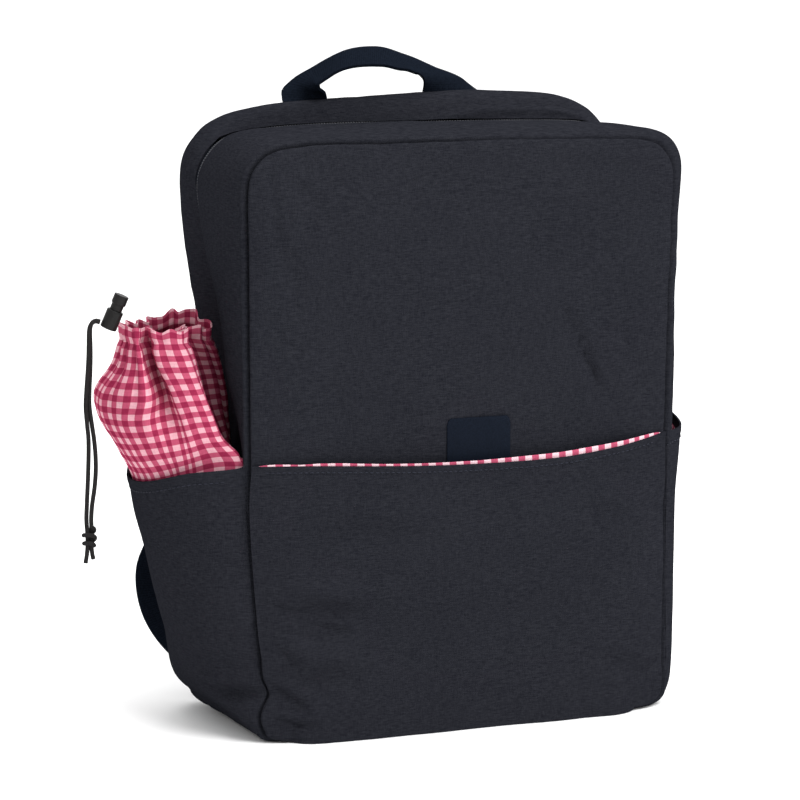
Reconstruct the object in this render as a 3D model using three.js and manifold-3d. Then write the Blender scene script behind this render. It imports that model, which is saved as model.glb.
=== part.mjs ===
// Picnic backpack with a front slip pocket and a flared bottle pocket on each side.
// Millimetres, +Z up. The front panel faces -Y, the wearer's back is at +Y,
// and the origin is the middle of the base, on the ground.
import * as THREE from "three";
import { mergeVertices } from "three/addons/utils/BufferGeometryUtils.js";
import Module from "manifold-3d";

const wasm = await Module();
wasm.setup();

// Driving sizes
const SEAT_GAP = 0.4; // clearance where one piece is sewn on or rests on another
const SHELL_WALL = 2.4; // lined outer fabric of the two compartments
const POCKET_WALL = 1.6;
const GINGHAM_WALL = 1.1;
const BAG_HEIGHT = 400; // top seam of the front panel
const BASE_TAPER = 0.03; // share by which the bag narrows towards its base
const ZIP = { y: 30, tape: 2.2, sunk: 0.7, thick: 1.5 };

// Front compartment, from its rim at the zip to the edge of the front panel.
// crown: drop of the roof from its middle to its sides
const FRONT_SECTIONS = [
  { y: 28.5, half: 160, bottom: 0, top: 403, rBottom: 20, rTop: 36, crown: 5 },
  { y: 8, half: 161.5, bottom: 0, top: 405, rBottom: 20, rTop: 36, crown: 5 },
  { y: -22, half: 162, bottom: 0, top: 405.5, rBottom: 20, rTop: 34, crown: 5 },
  { y: -48, half: 160.5, bottom: 0, top: 404.5, rBottom: 20, rTop: 32, crown: 5 },
  { y: -64, half: 158.5, bottom: 0.8, top: 402.5, rBottom: 20, rTop: 30, crown: 5 },
  { y: -69.5, half: 156, bottom: 2.5, top: 400, rBottom: 20, rTop: 28, crown: 5 },
  { y: -72, half: 152.5, bottom: 6, top: 396.5, rBottom: 18, rTop: 26, crown: 5 },
];
// Rear compartment, from its rim at the zip to the edge of the back panel
const REAR_SECTIONS = [
  { y: 31.5, half: 160, bottom: 0, top: 403.5, rBottom: 20, rTop: 36, crown: 5 },
  { y: 38, half: 160.5, bottom: 0, top: 412, rBottom: 20, rTop: 40, crown: 8 },
  { y: 47, half: 160, bottom: 0, top: 420, rBottom: 20, rTop: 43, crown: 10 },
  { y: 56, half: 158, bottom: 1, top: 421, rBottom: 20, rTop: 43, crown: 10 },
  { y: 62, half: 154, bottom: 5, top: 417, rBottom: 18, rTop: 41, crown: 10 },
  { y: 65, half: 149, bottom: 10, top: 411, rBottom: 16, rTop: 37, crown: 10 },
];
// Panels close each compartment in rings, as shares of the way out from its middle
const FRONT_PANEL = { half: 157, middle: 201, halfHeight: 201, bulge: 7, rings: [0.94, 0.8, 0.55, 0.28] };
const BACK_PANEL = { half: 157, middle: 205, halfHeight: 205, bulge: 2, rings: [0.86, 0.5] };
// Points along each straight and each corner of a compartment's outline
const OUTLINE_STEPS = { corner: 4, side: 8, roof: 7, base: 5 };

// The left side wall caves in beside the bottle pocket, behind a slanting crease
const CREASE = {
  low: { y: -66, z: 195 },
  high: { y: 27, z: 345 },
  depth: 30,
  width: 40,
  foot: { from: 10, to: 60 }, // heights over which the dent begins
  head: { from: 230, to: 345 }, // and ends
  rear: { from: 35, to: 62 }, // depths over which it runs out at the back panel
  shoulder: { from: 190, to: 230, kept: 0.45 }, // share of it that goes on above the pocket
};

const FRONT_POCKET = {
  half: 155,
  bottom: 7,
  rBottom: 18,
  lip: 191, // height of the lip at the side seams
  sag: 8, // drop of the lip in the middle
  mouth: 10.5, // how far the lip stands off the panel
  columns: 18,
  rows: 8,
};
const POCKET_LINING = { below: 24, above: 3.6, reach: 0.93, rows: 3 };
const TAB = { x: 7, width: 46, top: 216, bottom: 170, levels: [183, 198], thick: 1.6, corner: 5 };

// Side pockets: share of the height up to the hem, and how far the wall stands off there
const LEFT_FLARE = [
  { up: 0, out: 2 },
  { up: 0.05, out: 7 },
  { up: 0.12, out: 13 },
  { up: 0.22, out: 21 },
  { up: 0.42, out: 31 },
  { up: 0.72, out: 40 },
  { up: 1, out: 48 },
];
const RIGHT_FLARE = [
  { up: 0, out: 0.8 },
  { up: 0.3, out: 4 },
  { up: 0.58, out: 9 },
  { up: 0.8, out: 15 },
  { up: 0.9, out: 18 },
  { up: 1, out: 20 },
];
const SIDE_POCKET = {
  middle: -4,
  depth: 63,
  bottom: 14,
  columns: 16,
  levels: [0, 0.05, 0.16, 0.28, 0.42, 0.56, 0.72, 0.86, 1], // shares of the height, closer at the base
};
const LEFT_HEM = { front: 190, outer: 173, rear: 186 };
const RIGHT_HEM = { front: 192, outer: 198, rear: 196 };
const RIGHT_LINING = { rowsDown: 4, edge: 2, sunk: 2 }; // rows from the hem, columns left off, drop

// Gingham bottle pouch, a sleeve from inside the pocket's hem to its drawn mouth.
// up: share of the way from hem to mouth; x, y: middle; out, in: reach from and to the bag;
// deep: half depth along Y; fold: depth of the gathers.
const POUCH_SECTIONS = [
  { up: -0.14, x: -162, y: -4, out: 39, in: 25, deep: 57, fold: 0 },
  { up: 0, x: -162, y: -4, out: 43.6, in: 25, deep: 58, fold: 0.3 },
  { up: 0.1, x: -163, y: -4, out: 49, in: 25, deep: 59, fold: 1 },
  { up: 0.25, x: -166, y: -5, out: 54, in: 26, deep: 59, fold: 1.8 },
  { up: 0.42, x: -171, y: -6.5, out: 58, in: 27, deep: 56, fold: 2.4 },
  { up: 0.55, x: -176, y: -8, out: 57, in: 28, deep: 51, fold: 2.6 },
  { up: 0.66, x: -181, y: -9, out: 48, in: 30, deep: 45, fold: 2.4 },
  { up: 0.78, x: -188, y: -10.5, out: 34.5, in: 32, deep: 38, fold: 2.2 },
  { up: 0.9, x: -193, y: -11.5, out: 31, in: 33, deep: 34.5, fold: 2.6 },
  { up: 1, x: -196, y: -12, out: 28.5, in: 34, deep: 33, fold: 2.8 },
  { up: 1.07, x: -196, y: -12, out: 30, in: 34.5, deep: 34.5, fold: 3.4 },
];
const POUCH = {
  columns: 52,
  mouth: 271, // height of the drawn mouth
  tilt: 3.5, // rise of the mouth's rear over its middle
  gathers: 8,
  offWall: 5.2, // least distance from the bag's side
  valley: { angle: 238, width: 15, depth: 7 }, // deep fold beside the bag, in degrees
};

// Cord lock: a barrel and its sprung plunger on one slanted axis
const LOCK = {
  at: new THREE.Vector3(-230.6, -21.8, 284),
  axis: new THREE.Vector3(0.367, -0.143, 0.92).normalize(),
  barrel: { radius: 5.6, length: 13, round: 1.6 },
  bore: { radius: 4.3, depth: 9.5 },
  plunger: { radius: 3.9, inside: 5, outside: 11, round: 2.2 },
  cordHole: { radius: 2.4, below: 4.2 }, // under the middle of the barrel
  sides: 16,
};
const CORD = { diameter: 3, sides: 8, step: 8.5 };
// Middle of the doubled drawcord from the lock to the knot.
// apart: from the middle to each strand; turn: degrees from the bag's X axis to the strands
const CORD_ROUTE = [
  { x: -238.3, y: -20.4, z: 282.6, apart: 1.7, turn: 69 },
  { x: -241, y: -19.9, z: 283.2, apart: 1.7, turn: 69 },
  { x: -243.4, y: -19.8, z: 282.2, apart: 1.7, turn: 69 },
  { x: -245, y: -20.2, z: 279.4, apart: 1.7, turn: 66 },
  { x: -245.7, y: -20.8, z: 275.2, apart: 1.7, turn: 62 },
  { x: -245.9, y: -21.4, z: 268, apart: 1.7, turn: 56 },
  { x: -246.2, y: -21.8, z: 259, apart: 1.7, turn: 50 },
  { x: -246.8, y: -22, z: 249, apart: 1.7, turn: 44 },
  { x: -247.6, y: -22, z: 238, apart: 1.7, turn: 38 },
  { x: -248, y: -22, z: 227, apart: 1.7, turn: 28 },
  { x: -247, y: -22, z: 216, apart: 1.75, turn: 14 },
  { x: -245.8, y: -22, z: 205, apart: 1.9, turn: 0 },
  { x: -245.4, y: -22, z: 194, apart: 2.3, turn: -12 },
  { x: -245.6, y: -22, z: 183, apart: 2.5, turn: -20 },
  { x: -246.4, y: -22, z: 172, apart: 2.3, turn: -24 },
  { x: -247.6, y: -22, z: 161, apart: 1.8, turn: -30 },
  { x: -248.2, y: -22, z: 152, apart: 1.7, turn: -36 },
  { x: -248, y: -22, z: 145.4, apart: 1.7, turn: -40 },
];
const KNOT = { height: 14, tail: 9, spread: 7, lobes: [{ z: 3.2, turn: 20 }, { z: -3.2, turn: -35 }] };

// Webbing grab handle: place of the middle, then the direction of the webbing's width
const HANDLE = { width: 32, thick: 2.2 };
const HANDLE_SECTIONS = [
  { x: -68, y: 58.6, z: 419, wx: 1, wy: 0, wz: 0 },
  { x: -69, y: 58.4, z: 425, wx: 0.99, wy: 0.1, wz: 0.05 },
  { x: -67, y: 58, z: 431.5, wx: 0.86, wy: 0.45, wz: 0.02 },
  { x: -59, y: 57, z: 438, wx: 0.5, wy: 0.86, wz: 0.02 },
  { x: -43, y: 56, z: 444.5, wx: 0.12, wy: 0.96, wz: 0.22 },
  { x: -14, y: 55, z: 449, wx: 0, wy: 0.94, wz: 0.33 },
  { x: 13, y: 56, z: 444.5, wx: -0.12, wy: 0.96, wz: 0.22 },
  { x: 29, y: 57, z: 438.5, wx: -0.5, wy: 0.84, wz: 0.2 },
  { x: 38, y: 58, z: 432, wx: -0.86, wy: 0.42, wz: 0.3 },
  { x: 42, y: 58.4, z: 426, wx: -0.97, wy: 0.1, wz: 0.2 },
  { x: 43, y: 58.6, z: 420, wx: -1, wy: 0, wz: 0 },
];

// Shoulder straps, given for +X and mirrored: padded upper part, then a webbing tail that passes behind the adjuster
const STRAP_SECTIONS = [
  { x: 50, y: 70.3, z: 398, width: 58, thick: 8.6 },
  { x: 53, y: 74.4, z: 372, width: 58, thick: 9.4 },
  { x: 63, y: 90, z: 318, width: 56, thick: 9.8 },
  { x: 80, y: 104, z: 256, width: 54, thick: 9.8 },
  { x: 99, y: 111, z: 196, width: 48, thick: 9.4 },
  { x: 113, y: 113, z: 160, width: 38, thick: 8.4 },
];
const TAIL_SECTIONS = [
  { x: 113.6, y: 109.6, z: 158.7, width: 28, thick: 2 },
  { x: 120.6, y: 110.2, z: 143.9, width: 28, thick: 2 },
  { x: 126.5, y: 110.8, z: 131.2, width: 28, thick: 2 },
  { x: 147, y: 117, z: 110, width: 28, thick: 2 },
  { x: 161, y: 117, z: 84, width: 28, thick: 2 },
  { x: 160, y: 106, z: 57, width: 28, thick: 2 },
  { x: 149, y: 89, z: 37, width: 28, thick: 2 },
  { x: 135, y: 66.6, z: 26, width: 28, thick: 2 },
];
const ADJUSTER = {
  middle: { x: 120.5, y: 113.75, z: 144 },
  up: { x: -15, y: -1.5, z: 32 },
  width: 36,
  height: 24,
  thick: 4.2,
  slot: { width: 28, height: 3.2, pitch: 9 },
};

const SLIDER = { z: 216, width: 8, height: 11, thick: 3.6, tab: { width: 5, length: 26, thick: 1.4 } };

const COLOUR = { canvas: 0x2a2b36, navy: 0x182236, gingham: 0xd4537e, black: 0x1d1b1a };

// Small helpers
const radians = THREE.MathUtils.degToRad;
const mix = THREE.MathUtils.lerp;
const ease = (from, to, t) => THREE.MathUtils.smoothstep(t, from, to);
const point = (x, y, z) => new THREE.Vector3(x, y, z);

// One column of a table at a place along its key column, straight between rows.
function tableAt(table, key, name, place) {
  const last = table.length - 1;
  const rising = table[last][key] > table[0][key];
  const past = table.findIndex((row) => (rising ? row[key] >= place : row[key] <= place));
  if (past === 0) return table[0][name];
  if (past < 0) return table[last][name];
  const [a, b] = [table[past - 1], table[past]];
  return mix(a[name], b[name], (place - a[key]) / (b[key] - a[key]));
}

// A geometry from points and triangles, turned so that its faces point out.
function geometryOf(points, triangles) {
  const volume = triangles.reduce(
    (sum, [a, b, c]) => sum + points[a].dot(point().crossVectors(points[b], points[c])),
    0,
  );
  const index = triangles.flatMap(([a, b, c]) => (volume < 0 ? [a, c, b] : [a, b, c]));
  return new THREE.BufferGeometry().setFromPoints(points).setIndex(index);
}

// The rows of points, each moved off the face that they make.
function offsetRows(rows, distance, { loop = false, pole = null } = {}) {
  const last = rows[0].length - 1;
  const wrap = (u) => (loop ? (u + last + 1) % (last + 1) : THREE.MathUtils.clamp(u, 0, last));
  return rows.map((row, v) =>
    row.map((here, u) => {
      const across = point().subVectors(row[wrap(u + 1)], row[wrap(u - 1)]);
      const next = rows[v + 1]?.[u] ?? pole ?? here;
      const along = point().subVectors(next, rows[v - 1]?.[u] ?? here);
      return here.clone().addScaledVector(across.cross(along).normalize(), distance);
    }),
  );
}

// A cloth wall: the rows of points are one face, and the other lies behind it by the thickness.
// A loop closes each row on itself; a pole closes the last row to a point.
function clothWall(rows, thickness, { loop = false, pole = null } = {}) {
  const columns = rows[0].length;
  const wrap = (u) => (loop ? u % columns : u);
  const points = [...rows.flat(), ...offsetRows(rows, -thickness, { loop, pole }).flat()];
  const count = rows.length * columns;
  const face = (v, u) => v * columns + wrap(u);
  const back = (v, u) => count + face(v, u);
  const triangles = [];
  const quad = (a, b, c, d) => triangles.push([a, b, c], [a, c, d]);
  const lastRow = rows.length - 1;
  const spans = loop ? columns : columns - 1;
  for (let u = 0; u < spans; u++) {
    for (let v = 0; v < lastRow; v++) {
      quad(face(v, u), face(v, u + 1), face(v + 1, u + 1), face(v + 1, u));
      quad(back(v, u), back(v + 1, u), back(v + 1, u + 1), back(v, u + 1));
    }
    quad(face(0, u), back(0, u), back(0, u + 1), face(0, u + 1));
    if (!pole) quad(face(lastRow, u), face(lastRow, u + 1), back(lastRow, u + 1), back(lastRow, u));
  }
  for (let v = 0; v < lastRow && !loop; v++) {
    quad(face(v, 0), face(v + 1, 0), back(v + 1, 0), back(v, 0));
    quad(face(v, spans), back(v, spans), back(v + 1, spans), face(v + 1, spans));
  }
  if (pole) {
    const shift = point().subVectors(points.at(-1), rows[lastRow].at(-1));
    points.push(pole, pole.clone().add(shift));
    for (let u = 0; u < columns; u++) {
      triangles.push([face(lastRow, u), face(lastRow, u + 1), 2 * count]);
      triangles.push([back(lastRow, u + 1), back(lastRow, u), 2 * count + 1]);
    }
  }
  return geometryOf(points, triangles);
}

// A solid through closed rings of points, with flat ends.
function loftedBar(rings) {
  const sides = rings[0].length;
  const points = rings.flat();
  const triangles = [];
  for (let v = 0; v + 1 < rings.length; v++) {
    for (let u = 0; u < sides; u++) {
      const [a, b] = [v * sides + u, v * sides + ((u + 1) % sides)];
      triangles.push([a, b, b + sides], [a, b + sides, a + sides]);
    }
  }
  for (let u = 1; u + 1 < sides; u++) {
    const end = (rings.length - 1) * sides;
    triangles.push([0, u + 1, u], [end, end + u, end + u + 1]);
  }
  return geometryOf(points, triangles);
}

// Smooth stations through a table's rows, with the named columns.
function stations(table, names, count) {
  const curves = names.map(
    (name) => new THREE.CatmullRomCurve3(table.map((row, i) => point(i, row[name], 0))),
  );
  return Array.from({ length: count + 1 }, (_, i) => {
    const row = {};
    names.forEach((name, k) => (row[name] = curves[k].getPoint(i / count).y));
    return row;
  });
}

// A flat band with rounded edges, across the given width direction at each station.
function bandRing(middle, across, normal, width, thick) {
  const [half, edge] = [width / 2, Math.min(thick, width) / 2];
  const corners = [
    [-half, 0],
    [-half + edge, -edge],
    [half - edge, -edge],
    [half, 0],
    [half - edge, edge],
    [-half + edge, edge],
  ];
  return corners.map(([w, t]) => middle.clone().addScaledVector(across, w).addScaledVector(normal, t));
}

function solidOf(geometry) {
  const bare = geometry.clone();
  bare.deleteAttribute("normal");
  bare.deleteAttribute("uv");
  const merged = mergeVertices(bare);
  return new wasm.Manifold(
    new wasm.Mesh({
      numProp: 3,
      vertProperties: merged.attributes.position.array,
      triVerts: new Uint32Array(merged.index.array),
    }),
  );
}

function geometryFrom(solid) {
  const mesh = solid.getMesh();
  return new THREE.BufferGeometry()
    .setAttribute("position", new THREE.BufferAttribute(mesh.vertProperties, 3))
    .setIndex(new THREE.BufferAttribute(mesh.triVerts, 1));
}

const bag = new THREE.Group();
const finish = (color, roughness) => new THREE.MeshStandardMaterial({ color, roughness, metalness: 0 });
const canvas = finish(COLOUR.canvas, 0.95);
const webbing = finish(COLOUR.navy, 0.8);
const gingham = finish(COLOUR.gingham, 0.9);
const leather = finish(COLOUR.navy, 0.55);
const plastic = finish(COLOUR.black, 0.5);
const cordage = finish(COLOUR.black, 0.85);

function addPiece(name, geometry, material, parent = bag) {
  const piece = new THREE.Mesh(geometry, material.clone());
  piece.name = name;
  parent.add(piece);
  return piece;
}

// Depth of the dent in the left side wall.
function leftDent(y, z) {
  const { low, high, depth, width, foot, head, rear, shoulder } = CREASE;
  const creaseY = mix(low.y, high.y, THREE.MathUtils.clamp((z - low.z) / (high.z - low.z), 0, 1));
  const upright = ease(foot.from, foot.to, z) * (1 - ease(head.from, head.to, z));
  const goesOn = shoulder.kept * ease(shoulder.from, shoulder.to, z);
  const rearEdge = 1 - ease(rear.from, rear.to, y) * (1 - goesOn);
  return depth * ease(0, width, y - creaseY) * upright * rearEdge;
}

const taperAt = (z) => 1 - BASE_TAPER * (1 - z / BAG_HEIGHT);

// Half width of the undented side wall, with the rounded lower corner.
function sideReach(y, z) {
  const table = y <= ZIP.y ? FRONT_SECTIONS : REAR_SECTIONS;
  const corner = tableAt(table, "y", "rBottom", y);
  const drop = Math.max(0, corner - (z - tableAt(table, "y", "bottom", y)));
  const inset = corner - Math.sqrt(Math.max(0, corner * corner - drop * drop));
  return (tableAt(table, "y", "half", y) - inset) * taperAt(z);
}

const bulgeOf = ({ half, middle, halfHeight, bulge }, x, z) =>
  bulge * Math.max(0, 1 - (x / half) ** 4) * Math.max(0, 1 - ((z - middle) / halfHeight) ** 4);

const frontFace = (x, z) => FRONT_SECTIONS.at(-1).y - bulgeOf(FRONT_PANEL, x, z);

// Points of a compartment's outline: up the right, over the roof, down the left, along the base.
function outline({ half, bottom, top, rBottom, rTop }) {
  const { corner, side, roof, base } = OUTLINE_STEPS;
  const corners = [
    { x: half - rBottom, z: bottom + rBottom, r: rBottom, from: -90, then: side },
    { x: half - rTop, z: top - rTop, r: rTop, from: 0, then: roof },
    { x: rTop - half, z: top - rTop, r: rTop, from: 90, then: side },
    { x: rBottom - half, z: bottom + rBottom, r: rBottom, from: 180, then: base },
  ];
  const onArc = ({ x, z, r, from }, share) => {
    const angle = radians(from + 90 * share);
    return { x: x + r * Math.cos(angle), z: z + r * Math.sin(angle) };
  };
  return corners.flatMap((arc, i) => {
    const points = Array.from({ length: corner + 1 }, (_, k) => onArc(arc, k / corner));
    const [start, end] = [points[corner], onArc(corners[(i + 1) % 4], 0)];
    for (let k = 1; k <= arc.then; k++) {
      const share = k / (arc.then + 1);
      points.push({ x: mix(start.x, end.x, share), z: mix(start.z, end.z, share) });
    }
    return points;
  });
}

function wallRing(section) {
  return outline(section).map(({ x, z }) => {
    const nearSide = ease(0.75, 1, Math.abs(x) / section.half);
    const dent = x < 0 ? leftDent(section.y, z) * nearSide : 0;
    const drop = section.crown * (x / section.half) ** 2 * ease(0.75 * BAG_HEIGHT, BAG_HEIGHT, z);
    return point(x * taperAt(z) + dent, section.y, z - drop);
  });
}

// Rings of a panel inside the last ring of its wall; outward is the way it bulges along Y.
function panelRings(edge, panel, outward) {
  return panel.rings.map((share) =>
    edge.map(({ x, y, z }) => {
      const [px, pz] = [x * share, mix(panel.middle, z, share)];
      return point(px, y + outward * bulgeOf(panel, px, pz), pz);
    }),
  );
}

function compartment(sections, panel, outward) {
  const rings = sections.map(wallRing);
  const edge = rings.at(-1);
  rings.push(...panelRings(edge, panel, outward));
  const pole = point(0, edge[0].y + outward * panel.bulge, panel.middle);
  // The rear compartment's rings follow each other to +Y, so each is turned round to face outwards.
  return { rings: outward < 0 ? rings : rings.map((ring) => [...ring].reverse()), pole };
}

function makeCompartments() {
  const front = compartment(FRONT_SECTIONS, FRONT_PANEL, -1);
  addPiece("front_compartment", clothWall(front.rings, SHELL_WALL, { loop: true, pole: front.pole }), canvas);
  const rear = compartment(REAR_SECTIONS, BACK_PANEL, 1);
  addPiece("main_compartment", clothWall(rear.rings, SHELL_WALL, { loop: true, pole: rear.pole }), canvas);
}

// Zip tape closed between the two rims, sunk a little below the cloth.
function makeZip() {
  const rim = FRONT_SECTIONS[0];
  const sunkRim = { ...rim, half: rim.half - ZIP.sunk, top: rim.top - ZIP.sunk, bottom: rim.bottom + ZIP.sunk };
  const rows = [-ZIP.tape / 2, ZIP.tape / 2].map((dy) => wallRing({ ...sunkRim, y: ZIP.y + dy }).reverse());
  addPiece("zip", clothWall(rows, ZIP.thick, { loop: true }), webbing);
}

// A plain slider with its pull tab, left closed on the right side above the pocket.
function makeSlider() {
  const { z, width, height, thick, tab } = SLIDER;
  const shape = new THREE.Shape();
  shape.moveTo(-width / 2, height / 2);
  shape.lineTo(-tab.width / 2, -height / 2);
  shape.lineTo(tab.width / 2, -height / 2);
  shape.lineTo(width / 2, height / 2);
  shape.closePath();
  const body = new THREE.ExtrudeGeometry(shape, { depth: thick, bevelEnabled: false });
  const pull = new THREE.BoxGeometry(tab.width, tab.length, tab.thick);
  pull.translate(0, -tab.length / 2, thick - tab.thick / 2);
  const place = new THREE.Group();
  place.position.set(sideReach(ZIP.y, z) + SEAT_GAP, ZIP.y, z);
  place.rotation.set(Math.PI / 2, Math.PI / 2, 0);
  bag.add(place);
  addPiece("zip_slider", geometryFrom(solidOf(body).add(solidOf(pull))), plastic, place);
}

// Height of the front pocket's lip across the bag, highest at the side seams.
const lipHeight = (share) => FRONT_POCKET.lip - FRONT_POCKET.sag * (1 - share ** 4);

// How far the front pocket's inner face stands off the panel.
function mouthGap(share, up) {
  return SEAT_GAP + FRONT_POCKET.mouth * (1 - Math.abs(share) ** 3) * ease(0.1, 1, up) ** 1.4;
}

function pocketPoint(share, z, off) {
  const { half, bottom } = FRONT_POCKET;
  const x = half * share * taperAt(z);
  const up = (z - bottom) / (lipHeight(share) - bottom);
  return point(x, frontFace(x, z) - mouthGap(share, Math.min(1, up)) - off, z);
}

function makeFrontPocket() {
  const { half, bottom, rBottom, columns, rows } = FRONT_POCKET;
  const share = (u) => (2 * u) / columns - 1;
  const foot = (s) => {
    const past = Math.max(0, Math.abs(s) * half - (half - rBottom));
    return bottom + rBottom - Math.sqrt(rBottom * rBottom - past * past);
  };
  const grid = Array.from({ length: rows + 1 }, (_, v) =>
    Array.from({ length: columns + 1 }, (_, u) =>
      pocketPoint(share(u), mix(foot(share(u)), lipHeight(share(u)), v / rows), POCKET_WALL),
    ),
  );
  addPiece("front_pocket", clothWall(grid, POCKET_WALL), canvas);
}

// Gingham lining that shows as an edge above the pocket's lip.
function makePocketLining() {
  const { below, above, reach, rows } = POCKET_LINING;
  const { columns } = FRONT_POCKET;
  const behindPocket = -1.8 * SEAT_GAP;
  const grid = Array.from({ length: rows + 1 }, (_, v) =>
    Array.from({ length: columns + 1 }, (_, u) => {
      const share = reach * ((2 * u) / columns - 1);
      return pocketPoint(share, lipHeight(share) + mix(-below, above, v / rows), behindPocket);
    }),
  );
  addPiece("front_pocket_lining", clothWall(grid, GINGHAM_WALL), gingham);
}

// A plain patch sewn on the panel, whose lower end is behind the pocket's lip.
function makeTab() {
  const { x, width, top, bottom, levels, thick, corner } = TAB;
  const inset = (z) => {
    const past = Math.max(0, z - (top - corner));
    return corner - Math.sqrt(corner * corner - past * past);
  };
  const heights = [bottom, ...levels, top - corner, top - corner * 0.4, top - corner * 0.1];
  const grid = heights.map((z) =>
    [-1, -0.33, 0.33, 1].map((side) => {
      const px = x + side * (width / 2 - inset(z));
      return point(px, frontFace(px, z) - SEAT_GAP - thick, z);
    }),
  );
  addPiece("closure_tab", clothWall(grid, thick), leather);
}

// Inner face of a side pocket, in rows from its bottom seam up to its hem.
// side is the way along X that it faces; each row runs from the front seam to the rear seam.
function sidePocketRows(side, flare, hem) {
  const { middle, depth, bottom, columns, levels } = SIDE_POCKET;
  return levels.map((up) =>
    Array.from({ length: columns + 1 }, (_, u) => {
      const turn = radians(mix(-90, 90, u / columns));
      const [sine, cosine] = [Math.sin(turn), Math.cos(turn)];
      const end = sine < 0 ? hem.front : hem.rear;
      const z = mix(bottom, mix(hem.outer, end, sine * sine), up);
      const y = middle + depth * sine;
      const out = tableAt(flare, "up", "out", up) * cosine;
      return point(side * (sideReach(y, z) + SEAT_GAP + out), y, z);
    }),
  );
}

function makeSidePocket(name, side, flare, hem) {
  const rows = sidePocketRows(side, flare, hem);
  addPiece(name, clothWall(rows, -side * POCKET_WALL), canvas);
}

// Gingham tucked down inside the right pocket, along its upper rows.
function makeRightLining() {
  const { rowsDown, edge, sunk } = RIGHT_LINING;
  const rows = sidePocketRows(1, RIGHT_FLARE, RIGHT_HEM)
    .slice(-rowsDown)
    .map((row) => row.slice(edge, -edge));
  const inside = offsetRows(rows, -1.5 * SEAT_GAP);
  inside.at(-1).forEach((p) => (p.z -= sunk));
  addPiece("right_pocket_lining", clothWall(inside, GINGHAM_WALL), gingham);
}

// Bottle pouch: angle 0 points away from the bag, 90 to the rear, 180 to the bag's side.
function pouchPoint(row, angle) {
  const { mouth, tilt, gathers, valley } = POUCH;
  const [c, s] = [Math.cos(radians(angle)), Math.sin(radians(angle))];
  const end = s < 0 ? LEFT_HEM.front : LEFT_HEM.rear;
  const hem = c > 0 ? mix(LEFT_HEM.outer, end, s * s) : end;
  const z = mix(hem, mouth + tilt * s, row.up);
  const pinch = mix(1.6, 1, ease(0, 1, row.up)); // narrows the side that lies in the wall's dent
  const reachX = c > 0 ? row.out * c : -row.in * Math.abs(c) ** pinch;
  const gather = row.fold * Math.sin(gathers * radians(angle) + 0.9 + 1.3 * row.up);
  const inValley = Math.exp(-(((angle - valley.angle) / valley.width) ** 2));
  const bump = valley.depth * inValley * ease(0.05, 0.45, row.up) * (1 - ease(0.75, 1, row.up));
  const swell = 1 + (gather - bump) / Math.max(row.out, row.deep);
  const y = row.y + row.deep * s * swell;
  const wall = leftDent(y, z) - sideReach(y, z) - POUCH.offWall;
  return point(Math.min(row.x - reachX * swell, wall), y, z);
}

function makePouch() {
  const { columns } = POUCH;
  const grid = POUCH_SECTIONS.map((row) =>
    Array.from({ length: columns }, (_, u) => pouchPoint(row, (360 * u) / columns)),
  );
  grid.forEach((row) => row.reverse());
  addPiece("bottle_pouch", clothWall(grid, GINGHAM_WALL, { loop: true }), gingham);
}

// Cord lock, made upright and then turned onto its axis. The barrel is open above for the plunger.
function makeCordLock() {
  const { at, axis, barrel, bore, plunger, cordHole, sides } = LOCK;
  const place = new THREE.Group();
  place.position.copy(at);
  place.quaternion.setFromUnitVectors(point(0, 0, 1), axis);
  bag.add(place);
  const [low, high] = [-barrel.length / 2, barrel.length / 2];
  const turned = (profile) => {
    const lathe = new THREE.LatheGeometry(
      profile.map(([r, h]) => new THREE.Vector2(r, h)),
      sides,
    );
    return lathe.rotateX(Math.PI / 2);
  };
  const cup = turned([
    [0, low],
    [barrel.radius - barrel.round, low],
    [barrel.radius, low + barrel.round],
    [barrel.radius, high - barrel.round / 2],
    [barrel.radius - barrel.round / 2, high],
    [bore.radius, high],
    [bore.radius, high - bore.depth],
    [0, high - bore.depth],
  ]);
  const hole = new THREE.CylinderGeometry(cordHole.radius, cordHole.radius, 3 * barrel.radius, 10);
  hole.rotateZ(Math.PI / 2).translate(0, 0, -cordHole.below + cordHole.radius);
  addPiece("cord_lock_barrel", geometryFrom(solidOf(cup).subtract(solidOf(hole))), plastic, place);
  const tip = high + plunger.outside;
  const pin = turned([
    [0, high - plunger.inside],
    [plunger.radius, high - plunger.inside],
    [plunger.radius, tip - plunger.round],
    [plunger.radius - plunger.round * 0.3, tip - plunger.round * 0.3],
    [plunger.radius - plunger.round, tip],
    [0, tip],
  ]);
  addPiece("cord_lock_plunger", pin, plastic, place);
}

// The two strands of the drawcord, side by side from the cord lock to the knot.
function makeCord() {
  const section = new THREE.Shape();
  section.absarc(0, 0, CORD.diameter / 2, 0, 2 * Math.PI);
  ["left", "right"].forEach((name, i) => {
    const route = CORD_ROUTE.map(({ x, y, z, apart, turn }) => {
      const off = (i === 0 ? -1 : 1) * apart;
      return point(x + off * Math.cos(radians(turn)), y + off * Math.sin(radians(turn)), z);
    });
    const path = new THREE.CatmullRomCurve3(route);
    const tube = new THREE.ExtrudeGeometry(section, {
      extrudePath: path,
      steps: Math.ceil(path.getLength() / CORD.step),
      curveSegments: CORD.sides / 2,
      bevelEnabled: false,
    });
    addPiece("drawcord_" + name, tube, cordage);
  });
}

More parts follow.
